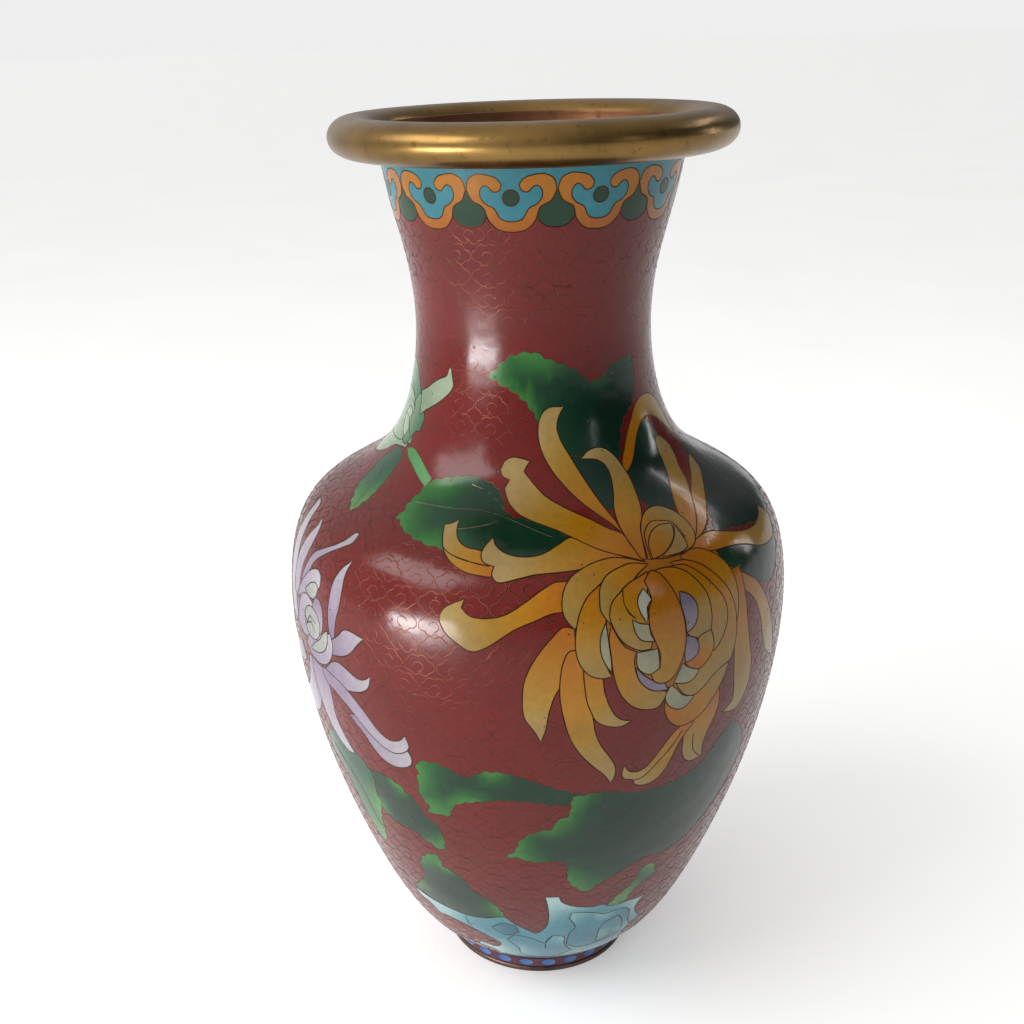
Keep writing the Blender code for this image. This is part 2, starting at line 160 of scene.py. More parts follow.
def curve_through(points, closed, step):
    """Samples of a smooth curve through the points, broken at corners."""
    points = np.array(points, float)
    count = len(points)
    if closed:
        way = np.roll(points, -1, axis=0) - points
        heading = np.arctan2(way[:, 1], way[:, 0])
        turn = np.abs((heading - np.roll(heading, 1) + math.pi) % (2 * math.pi) - math.pi)
        corners = [i for i in range(count) if turn[i] > CORNER]
        if not corners:
            wrapped = np.concatenate([points[-1:], points, points[:2]])
            return spans(wrapped, step)
        first = corners[0]
        points = np.concatenate([np.roll(points, -first, axis=0), points[first : first + 1]])
        stops = [i - first for i in corners] + [count]
    else:
        way = np.diff(points, axis=0)
        heading = np.arctan2(way[:, 1], way[:, 0])
        turn = np.abs((np.diff(heading) + math.pi) % (2 * math.pi) - math.pi)
        stops = [0] + [i + 1 for i in range(count - 2) if turn[i] > CORNER] + [count - 1]
    parts = []
    for a, b in zip(stops, stops[1:]):
        run = points[a : b + 1]
        ends = np.concatenate([[2 * run[0] - run[1]], run, [2 * run[-1] - run[-2]]])
        parts.append(spans(ends, step))
    if not closed:
        parts.append(points[-1:])
    return np.concatenate(parts)


def spans(points, step):
    """Centripetal Catmull-Rom samples from the second point to the last but one, without the last."""
    made = []
    for k in range(1, len(points) - 2):
        p0, p1, p2, p3 = points[k - 1 : k + 3]
        d0, d1, d2 = (max(math.sqrt(math.dist(a, b)), 1e-3) for a, b in ((p0, p1), (p1, p2), (p2, p3)))
        m1 = ((p1 - p0) / d0 - (p2 - p0) / (d0 + d1) + (p2 - p1) / d1) * d1
        m2 = ((p2 - p1) / d1 - (p3 - p1) / (d1 + d2) + (p3 - p2) / d2) * d1
        pieces = max(1, math.ceil(math.dist(p1, p2) / step))
        for j in range(pieces):
            t = j / pieces
            a = 2 * t**3 - 3 * t**2 + 1
            made.append(a * p1 + (1 - a) * p2 + (t**3 - 2 * t**2 + t) * m1 + (t**3 - t**2) * m2)
    return np.array(made)


def holds(outline, points):
    """Which of the points lie inside the outline."""
    inside = np.zeros(len(points), bool)
    low, high = outline.min(axis=0), outline.max(axis=0)
    near = np.flatnonzero(np.all((points >= low) & (points <= high), axis=1))
    if not len(near):
        return inside
    x, y = points[near].T
    u, s = outline.T
    u2, s2 = np.roll(u, -1), np.roll(s, -1)
    crossing = (s > y[:, None]) != (s2 > y[:, None])
    rise = np.where(s2 == s, 1, s2 - s)
    left = x[:, None] < u + (y[:, None] - s) * (u2 - u) / rise
    inside[near] = np.count_nonzero(crossing & left, axis=1) % 2 == 1
    return inside


class Picture:
    """Cells painted one over another on a skin, and the wires between them."""

    def __init__(self, skin, step=1.3, grain=3.4):
        self.skin, self.step, self.grain = skin, step, grain
        self.cells, self.wires = [], []

    def cell(self, node, ramp, shade, outline, smooth=True, family=None):
        """A cell of enamel, painted over the cells before it.

        Shade is a line that the colours follow, or a list of bright tips with their reach.
        No wire runs between cells of one family.
        """
        spotted = isinstance(shade[0], tuple)
        leafy = node.partition("_leaf")[1] != ""
        if smooth:
            outline = curve_through(outline, True, FRILL_PITCH / 4 if leafy else self.step)
        outline = self.frilled(np.array(outline, float)) if leafy else np.array(outline, float)
        if clockwise(outline):
            outline = outline[::-1]
        colours = TONE * np.array([linear(c) for c in ramp.split()])
        turn = 2 * self.skin.half
        for shift in (-turn, 0, turn):
            moved = outline + (shift, 0)
            if moved[:, 0].max() > -self.skin.half and moved[:, 0].min() < self.skin.half:
                if spotted:
                    spots = [(tip + shift, up, reach) for tip, up, reach in shade]
                else:
                    spots = np.array(shade, float).reshape(2, 2) + (shift, 0)
                self.cells.append((node, colours, spots, family or len(self.cells), moved))

    def frilled(self, outline):
        """The outline with small rounded teeth, as a leaf has."""
        wide = float(self.skin.stretch(outline[:, 1].mean()))
        line = outline / (wide, 1)
        way = np.roll(line, -1, axis=0) - np.roll(line, 1, axis=0)
        long = np.maximum(np.hypot(*way.T), 1e-9)
        side = np.stack([way[:, 1], -way[:, 0]], axis=1) / long[:, None]
        if clockwise(line):
            side = -side
        along = np.concatenate([[0], np.cumsum(np.hypot(*np.diff(line, axis=0).T))])
        teeth = np.abs(np.sin(math.pi * along / FRILL_PITCH + 0.6 * np.sin(along / 5)))
        return (line + side * (FRILL_DEPTH * (teeth - 0.4))[:, None]) * (wide, 1)

    def wire(self, node, *points):
        """A loose wire that shows only over this node's cells."""
        self.wires.append((node, curve_through(points, False, self.step)))

    def owner(self, points):
        """Index of the cell on top at each point, or -1."""
        half = self.skin.half
        points = np.stack([(points[:, 0] + half) % (2 * half) - half, points[:, 1]], axis=1)
        found = np.full(len(points), -1)
        for k, (*_, outline) in enumerate(self.cells):
            found[holds(outline, points)] = k
        return found

    def solve(self):
        """Splits the chart into triangles that each belong to one cell."""
        half = self.skin.half
        points, edges = [], []
        for *_, outline in self.cells:
            start, count = len(points), len(outline)
            points += [Vector(p) for p in outline]
            edges += [(start + k, start + (k + 1) % count) for k in range(count)]
        taken = {(math.floor(p.x / CLEAR), math.floor(p.y / CLEAR)) for p in points}
        top = max(outline[:, 1].max() for *_, outline in self.cells)
        for j in range(1, int(top / (self.grain * ROW)) + 1):
            s = j * self.grain * ROW
            stretch = float(self.skin.stretch(s))
            count = max(6, round(2 * half / (self.grain * stretch)))
            for k in range(count):
                u = -half + (k + 0.5 * (j % 2) + 0.25) * 2 * half / count
                a, b = math.floor(u / CLEAR), math.floor(s / CLEAR)
                near = any((a + i, b + m) in taken for i in (-1, 0, 1) for m in (-1, 0, 1))
                if not near and abs(u) < half - 1 and s < top - 1:
                    points.append(Vector((u, s)))
        chart, _, faces = delaunay_2d_cdt(points, edges, [], 0, 1e-4, False)[:3]
        chart, faces = np.array([tuple(p) for p in chart]), np.array(faces)
        middle = chart[faces].mean(axis=1)
        owners = np.where(np.abs(middle[:, 0]) < half, self.owner(middle), -1)
        self.triangles, self.owners = faces[owners >= 0], owners[owners >= 0]
        # The two edges of the chart meet at the back of the vase.
        same = np.arange(len(chart))
        left = np.flatnonzero(np.abs(chart[:, 0] + half) < 2e-3)
        for k in np.flatnonzero(np.abs(chart[:, 0] - half) < 2e-3):
            match = left[np.argmin(np.abs(chart[left, 1] - chart[k, 1]))]
            if abs(chart[match, 1] - chart[k, 1]) < 0.02:
                same[k] = match
        self.chart, self.same = chart, same

    def colours(self, owner, chart):
        """The cell's colour at each chart point."""
        _, ramp, shade, _, outline = self.cells[owner]
        if len(ramp) == 1:
            return np.repeat(ramp, len(chart), axis=0)
        if isinstance(shade[0], tuple):
            shrink = np.array([1 / float(self.skin.stretch(outline[:, 1].mean())), 1])
            spot, line = chart * shrink, outline * shrink
            way = np.roll(line, -1, axis=0) - line
            long = np.maximum((way * way).sum(axis=1), 1e-9)
            along = np.clip(((spot[:, None] - line) * way).sum(axis=2) / long, 0, 1)
            edge = np.linalg.norm(spot[:, None] - line - along[..., None] * way, axis=2).min(axis=1)
            edge = np.exp(-edge / EDGE_REACH)
            bright = np.zeros(len(chart))
            for u, s, reach in shade:
                away = np.linalg.norm(spot - np.array([u, s]) * shrink, axis=1)
                bright = np.maximum(bright, np.exp(-((away / reach) ** 2)))
            share = bright * (TIP_CORE + (1 - TIP_CORE) * edge) + EDGE_GLOW * edge
        else:
            first, last = shade
            share = (chart - first) @ (last - first) / max((last - first) @ (last - first), 1e-9)
        share = np.clip(share, 0, 1) * (len(ramp) - 1)
        low = np.minimum(share.astype(int), len(ramp) - 2)
        part = (share - low)[:, None]
        return ramp[low] * (1 - part) + ramp[low + 1] * part

    def piece(self, name, cells, depth, material):
        """A closed plate of enamel made of all cells with this node's name."""
        wanted = [k for k, (node, *_) in enumerate(self.cells) if node == cells]
        chosen = np.flatnonzero(np.isin(self.owners, wanted))
        faces = self.triangles[chosen]
        tints = np.zeros((len(faces), 3, 3))
        for k in wanted:
            rows = np.flatnonzero(self.owners[chosen] == k)
            if len(rows):
                corners = self.chart[faces[rows]].reshape(-1, 2)
                tints[rows] = self.colours(k, corners).reshape(-1, 3, 3)
        joined = self.same[faces]
        used, index = np.unique(joined, return_inverse=True)
        outer = index.reshape(-1, 3)
        u, s = self.chart[used].T
        count = len(used)
        points = np.concatenate([self.skin.place(u, s), self.skin.place(u, s, -depth)])
        normals = self.skin.facing(u, s)
        edges = {}
        for face, tint in zip(outer, tints):
            for i in range(3):
                edges[(face[i], face[(i + 1) % 3])] = (tint[i], tint[(i + 1) % 3])
        rim = [(a, b, tint) for (a, b), tint in edges.items() if (b, a) not in edges]
        walls = np.array([(b, a, a + count, b + count) for a, b, _ in rim])
        made = bpy.data.meshes.new(name)
        made.from_pydata(points, [], [*outer.tolist(), *(outer[:, ::-1] + count).tolist(), *walls.tolist()])
        flat = [tuple(n) for n in normals[outer.ravel()]]
        flat += [tuple(-n) for n in normals[outer[:, ::-1].ravel()]]
        for a, b, _ in rim:
            side = np.cross(points[b] - points[a], normals[a])
            side /= max(np.linalg.norm(side), 1e-12)
            flat += [tuple(side)] * 4
        made.shade_smooth()
        made.normals_split_custom_set(flat)
        colour = made.color_attributes.new("tint", "FLOAT_COLOR", "CORNER")
        shades = [tints.reshape(-1, 3), tints[:, ::-1].reshape(-1, 3)]
        shades += [np.array([(t[1], t[0], t[0], t[1]) for _, _, t in rim]).reshape(-1, 3)]
        shades = np.concatenate(shades)
        colour.data.foreach_set("color", np.concatenate([shades, np.ones((len(shades), 1))], axis=1).ravel())
        return finished(name, made, material)

    def borders(self, *nodes, without=()):
        """Chains of chart points between different cells, where one of them belongs to these nodes."""
        sides = {}
        for face, cell in zip(self.triangles, self.owners):
            for i in range(3):
                a, b = face[i], face[(i + 1) % 3]
                sides.setdefault((min(a, b), max(a, b)), []).append(self.cells[cell])
        links = {}
        for (a, b), cells in sides.items():
            if len(cells) < 2 or cells[0][3] == cells[1][3]:
                continue
            names = {cell[0] for cell in cells}
            if (not nodes or names & set(nodes)) and not names & set(without):
                links.setdefault(a, []).append(b)
                links.setdefault(b, []).append(a)
        chains, seen = [], set()

        def follow(a, b):
            chain = [a, b]
            seen.add((min(a, b), max(a, b)))
            while len(links[chain[-1]]) == 2:
                onward = [c for c in links[chain[-1]] if (min(c, chain[-1]), max(c, chain[-1])) not in seen]
                if not onward:
                    break
                seen.add((min(onward[0], chain[-1]), max(onward[0], chain[-1])))
                chain.append(onward[0])
            return self.chart[chain]

        ends = [a for a in links if len(links[a]) != 2]
        for a in ends + list(links):
            for b in links[a]:
                if (min(a, b), max(a, b)) not in seen:
                    chains.append(follow(a, b))
        return chains

    def clipped(self, lines, node):
        """The parts of the lines that lie over this node's cells."""
        allowed = [k for k, (name, *_) in enumerate(self.cells) if name == node]
        sizes = [len(line) for line in lines]
        every = np.concatenate(lines)
        good = np.isin(self.owner(every), allowed)
        starts = np.cumsum([0] + sizes)
        made, cuts = [], []
        for begin, end in zip(starts, starts[1:]):
            run = []
            for k in range(begin, end):
                if good[k]:
                    if not run and k > begin:
                        cuts.append((len(made), 0, every[k], every[k - 1]))
                    run.append(every[k])
                elif run:
                    cuts.append((len(made), 1, every[k - 1], every[k]))
                    made.append(run)
                    run = []
            if run:
                made.append(run)
        if cuts:
            inner = np.array([c[2] for c in cuts])
            outer = np.array([c[3] for c in cuts])
            for _ in range(5):
                middle = (inner + outer) / 2
                fine = np.isin(self.owner(middle), allowed)[:, None]
                inner, outer = np.where(fine, middle, inner), np.where(fine, outer, middle)
            for (line, at_end, *_), point in zip(cuts, inner):
                if at_end:
                    made[line].append(point)
                else:
                    made[line].insert(0, point)
        return [np.array(run) for run in made if len(run) > 1]


def finished(name, mesh, material):
    made = bpy.data.objects.new(name, mesh)
    bpy.context.scene.collection.objects.link(made)
    mesh.materials.append(material)
    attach(made, "root")
    return made


def wires(name, skin, lines, width, material, high=0.06, low=0.05):
    """Wires laid in the enamel: each a low ridge with a closed underside."""
    points, faces, normals = [], [], []
    start = 0
    for line in lines:
        line = np.array(line)
        keep = np.concatenate([[True], np.hypot(*np.diff(line, axis=0).T) > 0.05])
        line = line[keep]
        if len(line) < 2:
            continue
        closed = len(line) > 3 and math.dist(line[0], line[-1]) < 0.05
        if closed:
            line = line[:-1]
        u, s = line.T
        stretch = skin.stretch(s)
        way = np.stack([np.gradient(u) / stretch, np.gradient(s)], axis=1)
        if closed:
            way[0] = (line[1] - line[-1]) / (stretch[0], 1)
            way[-1] = (line[0] - line[-2]) / (stretch[-1], 1)
        way /= np.maximum(np.hypot(*way.T), 1e-9)[:, None]
        side = np.stack([-way[:, 1] * stretch, way[:, 0]], axis=1) * width / 2
        left, right = line + side, line - side
        n = len(line)
        ring = [skin.place(*left.T, -low), skin.place(u, s, high), skin.place(*right.T, -low)]
        face_out = skin.facing(u, s)
        across = skin.place(*left.T) - skin.place(*right.T)
        across /= np.maximum(np.linalg.norm(across, axis=1), 1e-12)[:, None]
        lean = [face_out + WIRE_LEAN * across, face_out, face_out - WIRE_LEAN * across]
        lean = [v / np.linalg.norm(v, axis=1)[:, None] for v in lean]
        points += ring
        last = n if closed else n - 1
        for k in range(last):
            j = (k + 1) % n
            for a, b in ((0, 1), (1, 2)):
                faces.append((start + a * n + k, start + b * n + k, start + b * n + j, start + a * n + j))
                normals += [lean[a][k], lean[b][k], lean[b][j], lean[a][j]]
            faces.append((start + 2 * n + k, start + k, start + j, start + 2 * n + j))
            normals += [-face_out[k], -face_out[k], -face_out[j], -face_out[j]]
        if not closed:
            faces.append((start, start + 2 * n, start + n))
            faces.append((start + n - 1, start + 2 * n - 1, start + 3 * n - 1))
            normals += [face_out[0]] * 3 + [face_out[-1]] * 3
        start += 3 * n
    mesh = bpy.data.meshes.new(name)
    mesh.from_pydata(np.concatenate(points), [], faces)
    mesh.shade_smooth()
    mesh.normals_split_custom_set([tuple(v) for v in normals])
    return finished(name, mesh, material)


def turned(name, section, material, slot, *nodes, sharp=40):
    """A smooth solid of revolution from a closed section of (radius, height) points in mm."""
    points, faces = [], []
    for r, z in section:
        for k in range(ROUND):
            angle = 2 * math.pi * k / ROUND
            points.append((r * math.sin(angle) * MM, -r * math.cos(angle) * MM, z * MM))
    count = len(section)
    for i in range(count):
        for k in range(ROUND):
            j = (k + 1) % ROUND
            n = (i + 1) % count
            faces.append((i * ROUND + k, i * ROUND + j, n * ROUND + j, n * ROUND + k))
    mesh = bpy.data.meshes.new(name)
    mesh.from_pydata(points, [], faces)
    mesh.shade_smooth()
    mesh.set_sharp_from_angle(angle=math.radians(sharp))
    made = finished(name, mesh, material)
    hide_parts(*nodes)
    return made


# ---------------------------------------------------------------- materials

class Shader:
    def __init__(self, name, **sockets):
        self.material = bpy.data.materials.new(name)
        self.material.use_nodes = True
        self.tree = self.material.node_tree
        self.out = self.tree.nodes["Principled BSDF"]
        for key, value in sockets.items():
            self.out.inputs[key.replace("_", " ")].default_value = value
        self.coordinates = self.tree.nodes.new("ShaderNodeTexCoord").outputs["Object"]

    def node(self, kind, **settings):
        made = self.tree.nodes.new(kind)
        for key, value in settings.items():
            if hasattr(made, key):
                setattr(made, key, value)
            else:
                made.inputs[key.replace("_", " ")].default_value = value
        return made

    def link(self, source, target):
        self.tree.links.new(source, target)

    def noise(self, scale, detail=3, roughness=0.55, stretch=None):
        made = self.node("ShaderNodeTexNoise", Scale=scale, Detail=detail, Roughness=roughness)
        self.link(self.scaled(stretch), made.inputs["Vector"])
        return made.outputs["Fac"]

    def scaled(self, stretch):
        if not stretch:
            return self.coordinates
        made = self.node("ShaderNodeMapping")
        made.inputs["Scale"].default_value = stretch
        self.link(self.coordinates, made.inputs["Vector"])
        return made.outputs["Vector"]

    def range(self, source, low, high, to_low, to_high):
        made = self.node("ShaderNodeMapRange", clamp=True)
        for socket, value in zip(made.inputs[1:5], (low, high, to_low, to_high)):
            socket.default_value = value
        self.link(source, made.inputs[0])
        return made.outputs[0]

    def math(self, kind, a, b):
        made = self.node("ShaderNodeMath", operation=kind)
        for socket, value in zip(made.inputs, (a, b)):
            if isinstance(value, (int, float)):
                socket.default_value = value
            else:
                self.link(value, socket)
        return made.outputs[0]

    def mix(self, share, a, b, kind="MIX"):
        made = self.node("ShaderNodeMix", data_type="RGBA", blend_type=kind)
        for socket, value in zip((made.inputs[0], made.inputs[6], made.inputs[7]), (share, a, b)):
            if isinstance(value, (int, float)):
                socket.default_value = value
            elif isinstance(value, (tuple, list, np.ndarray)):
                socket.default_value = (*value, 1)
            else:
                self.link(value, socket)
        return made.outputs[2]

    def bump(self, *layers):
        """Relief from (height socket, distance in metres) layers."""
        normal = None
        for height, distance in layers:
            made = self.node("ShaderNodeBump", Strength=1.0, Distance=distance)
            self.link(height, made.inputs["Height"])
            if normal is not None:
                self.link(normal, made.inputs["Normal"])
            normal = made.outputs["Normal"]
        self.link(normal, self.out.inputs["Normal"])


def enamel(name):
    s = Shader(name, Metallic=0.0, IOR=1.38)
    tint = s.node("ShaderNodeAttribute", attribute_name="tint").outputs["Color"]
    cloudy = s.range(s.noise(55, 3), 0.3, 0.72, 0.86, 1.1)
    mottled = s.range(s.noise(620, 2), 0.3, 0.7, 0.92, 1.06)
    shade = s.math("MULTIPLY", cloudy, mottled)
    grey = s.node("ShaderNodeCombineColor")
    for socket in grey.inputs:
        s.link(shade, socket)
    colour = s.mix(1.0, tint, grey.outputs[0], "MULTIPLY")
    pits = s.node("ShaderNodeTexVoronoi", Scale=330.0)
    s.link(s.coordinates, pits.inputs["Vector"])
    rare = s.node("ShaderNodeSeparateColor")
    s.link(pits.outputs["Color"], rare.inputs[0])
    some = s.range(rare.outputs[0], 0.70, 0.72, 0, 1)
    dots = s.math("MULTIPLY", s.range(pits.outputs["Distance"], 0.07, 0.13, 1, 0), some)
    s.link(s.mix(s.math("MULTIPLY", dots, 0.75), colour, (0.03, 0.016, 0.01)), s.out.inputs["Base Color"])
    s.link(s.range(s.noise(90, 4), 0.3, 0.75, 0.13, 0.26), s.out.inputs["Roughness"])
    s.bump((s.noise(75, 2), 0.00028), (s.noise(420, 2), 0.00002), (dots, -0.00006))
    return s.material


def metal(name, bright, dull, spot, rough, relief=0.00004, scale=60):
    s = Shader(name, Metallic=1.0)
    patches = s.range(s.noise(scale, 5, 0.62), 0.38, 0.66, 0, 1)
    fine = s.range(s.noise(scale * 12, 3), 0.58, 0.74, 0, 0.6)
    colour = s.mix(patches, linear(bright), linear(dull))
    s.link(s.mix(fine, colour, linear(spot)), s.out.inputs["Base Color"])
    low, high = rough
    s.link(s.range(s.noise(scale * 2.2, 4), 0.3, 0.7, low, high), s.out.inputs["Roughness"])
    s.bump((s.noise(scale * 1.6, 3), relief * 4), (s.noise(scale * 16, 2), relief))
    return s.material


def wire_metal(name, bright, dull, rough):
    s = Shader(name, Metallic=1.0, Roughness=rough)
    worn = s.range(s.noise(140, 4), 0.35, 0.7, 0, 1)
    s.link(s.mix(worn, linear(bright), linear(dull)), s.out.inputs["Base Color"])
    return s.material


ENAMEL_FINISH = enamel("cloisonne_enamel")
DARK_WIRE = wire_metal("dark_wire", "402a1c", "20140e", 0.42)
COPPER_WIRE = wire_metal("copper_wire", "643a2e", "4a2820", 0.4)
VEIN_WIRE = wire_metal("vein_wire", "88705f", "50403a", 0.38)
BRASS = metal("worn_brass", "84683c", "6c5430", "54401f", (0.26, 0.36), 0.00002, 40)
OXIDISED = metal("oxidised_copper", "8a6044", "684630", "4a3020", (0.42, 0.6), 0.00005, 22)
FOOT_BRASS = metal("foot_brass", "66544c", "443630", "2a201c", (0.35, 0.5))

# ---------------------------------------------------------------- colours

RED = "80150e"
AMBER = "c46c00 d48400"
TURQUOISE = "3c98a8"
DARK = "10382a"
DROP = "0c4426"
ORANGE_STRAW = "cc7800 d08c08 c49430 c4a464"
ORANGE_GREY = "cc7800 cc8c10 b89850"
LILAC = "9c84a0 b4a4b8 ccc4cc"
LEAF = "0c3826 104a28 28762f 469040"
LEAF_LIGHT = "145038 206a3c 449044 68a858"
LEAF_DARK = "0a2c20 10402a 1c5c30"
ROCK_PALE = "4c9cac 74b8c4 a8d8dc c8ecec"
ROCK_MID = "3c8ca4 64acbc 9cd0d4"
ROCK_DEEP = "2c7890 5498ac"
MAUVE = "6c5c74 8c7c94"
BUD_TINT = "90b08c b4ccac ccdcc0"

# ---------------------------------------------------------------- the body's picture

body = Picture(BODY)
HALF = BODY.half


def rectangle(skin, low, high, step=3.0):
    """A band all round the skin, with the same points at both ends."""
    across = np.linspace(-skin.half, skin.half, int(2 * skin.half / step))
    up = np.linspace(low, high, max(2, int((high - low) / step)))
    line = [(u, low) for u in across] + [(skin.half, s) for s in up[1:-1]]
    line += [(u, high) for u in across[::-1]] + [(-skin.half, s) for s in up[-2:0:-1]]
    return line


body.cell("red_ground_enamel", RED, PLAIN, rectangle(BODY, 0, GROUND_END), smooth=False)
body.cell("neck_border_enamel", TURQUOISE, PLAIN, rectangle(BODY, GROUND_END, BORDER_END),
          smooth=False, family="sky")


def petals(node, ramp, *parts):
    """Cells whose colours follow a line; each part is the line's two ends and the outline."""
    for *line, outline in parts:
        body.cell(node, ramp, line, outline)


def flower(ramp, *parts):
    petals("yellow_chrysanthemum", ramp, *parts)


def oval(middle, height, half_wide, half_high, count=10):
    turns = [k * (2 * math.pi / count) for k in range(count)]
    return [(middle + half_wide * math.cos(a), height + half_high * math.sin(a)) for a in turns]


# Leaves behind the yellow flower.
body.cell("upper_leaf", LEAF, [(-24, 215, 9), (-8, 207, 7), (0, 221, 8)], (
    (-26.7, 215.5), (-14, 220.6), (0, 222), (9, 220), (24, 217), (33, 213.5), (40, 213.8), (50, 217),
    (66, 218), (68, 211), (62, 205.8), (51, 200.8), (44, 192), (36, 186), (28, 182), (18, 192), (4, 203),
    (-3, 208.5), (-10, 211.5), (-18, 213.5),
), family="upper_leaf")
body.cell("upper_leaf", LEAF_DARK, [(60, 218, 6), (40, 214, 4)], (
    (33, 213.5), (40, 213.8), (50, 217), (66, 218), (68, 211), (62, 205.8), (51, 200.8), (44, 194),
    (34, 200),
), family="upper_leaf")
body.cell("inner_leaf", DARK, PLAIN, (
    (18, 195), (24, 186), (29, 178), (31, 178), (35, 186), (35.5, 191), (30, 192.6), (24, 193.6),
))
body.cell("left_leaf", LEAF, [(-50, 173, 11), (-42, 184, 10), (-32, 166, 9)], (
    (-53, 171.5), (-51.5, 174), (-52.5, 177), (-51, 180.5), (-50, 184), (-39, 187.5), (-25, 188.5),
    (-14, 184.5), (-11, 179), (4, 175), (14, 169), (12, 163), (-6, 162), (-15, 164), (-24, 165),
    (-30, 165.5), (-36, 166), (-44, 168), (-47, 169), (-50, 171),
))
body.cell("right_leaf", LEAF_DARK, [(74, 196, 6)], (
    (46, 174), (56, 174), (64, 180), (70, 187), (76, 192), (76, 197.5), (70, 200), (60, 198), (50, 192),
    (44, 186),
))
body.cell("far_leaf", LEAF_DARK, [(130, 176, 6), (106, 188, 5)], (
    (62, 163), (70, 161.5), (88, 158), (99, 157), (108, 160.5), (124, 162.5), (132, 169), (130, 178),
    (118, 186), (104, 189), (94, 184), (84, 178), (70, 170),
))
body.cell("far_leaf", LEAF_DARK, [(96, 155, 4), (62, 152, 4)], (
    (54, 155.5), (60, 159), (75, 157), (96, 155), (88, 146.5), (80, 142.5), (70, 146), (62, 150),
))
body.cell("lower_leaf", LEAF, [(-34, 98, 8), (-30, 87, 7), (-20, 91, 6), (-12, 103, 4)], (
    (-34.5, 101), (-33, 103), (-30, 103.8), (-26, 103.6), (-22.5, 102), (-19.5, 101), (-18, 101.5),
    (-14.5, 103.5), (-10.5, 104), (-5, 103), (0, 101), (5, 99), (10, 97.2), (16, 95.5), (10, 93), (5, 93),
    (0, 93.8), (-5, 94.3), (-11, 94), (-17, 92.5), (-22, 91), (-24.5, 89), (-26, 85.5), (-27.5, 84.8),
    (-30, 84.8), (-33.5, 84), (-32.5, 86.5), (-34, 89), (-35.3, 92), (-34.5, 94.5), (-35, 96.5), (-34, 98.5),
))
body.cell("broad_leaf", LEAF, [(-8, 74, 10), (6, 86, 8), (13, 58, 9), (10, 94, 6)], (
    (-9.8, 71.5), (-6.5, 74.5), (-5, 78.5), (-2, 81.5), (2, 83), (5, 84), (6, 87), (9, 88.3), (10.2, 95.4),
    (19, 96.3), (28, 94.3), (38, 93.6), (50, 96.5), (57, 103), (62, 107), (68, 102), (74, 90), (70, 80),
    (58, 68), (46, 64), (38, 64.8), (27.3, 60.3), (17.4, 54), (11, 60), (10, 67), (9, 69.5), (5, 70),
    (-2, 70), (-5, 71.3),
))
body.cell("side_leaf", LEAF, [(-32, 70, 6), (-43, 91, 4), (-54, 78, 4)], (
    (-55, 92), (-50, 92.5), (-43, 91.5), (-40, 89), (-36.5, 86), (-35, 82), (-31.5, 80), (-30.3, 76),
    (-30.5, 71), (-32.5, 68.7), (-35.5, 70.5), (-39, 72), (-41, 74), (-44.5, 73.5), (-50, 75), (-54, 78),
    (-53.5, 84), (-56, 88),
))
body.cell("rock_leaf", LEAF, [(-40, 63, 6), (-33, 62, 4), (-15, 44, 5), (-50, 45, 4)], (
    (-56, 41.5), (-51, 45), (-47, 49), (-44, 53), (-44.5, 57), (-42.5, 61), (-40, 63.5), (-36, 65.5),
    (-34, 65), (-33.5, 61), (-30, 59.5), (-26.5, 57), (-24.5, 53), (-21, 50.5), (-18, 48.5), (-15, 45),
    (-13, 41), (-25, 36), (-40, 36),
))
body.cell("edge_leaf", LEAF_LIGHT, [(-56, 76, 9), (-60, 62, 8)], (
    (-76, 96), (-66, 98), (-60, 96), (-56, 93.5), (-53.6, 90), (-54.6, 84), (-53.6, 80), (-55.4, 76),
    (-57.4, 70), (-58.9, 64), (-60.4, 60), (-64, 60), (-68, 68), (-71, 80), (-79, 88),
))
body.cell("bud_leaf", LEAF_LIGHT, [(-76, 170, 9)], (
    (-94, 184), (-90, 188), (-85, 190), (-77, 189), (-75.5, 183), (-74, 178), (-73, 173), (-74, 167.5),
    (-78, 169), (-83, 172), (-88, 175), (-91, 179),
))

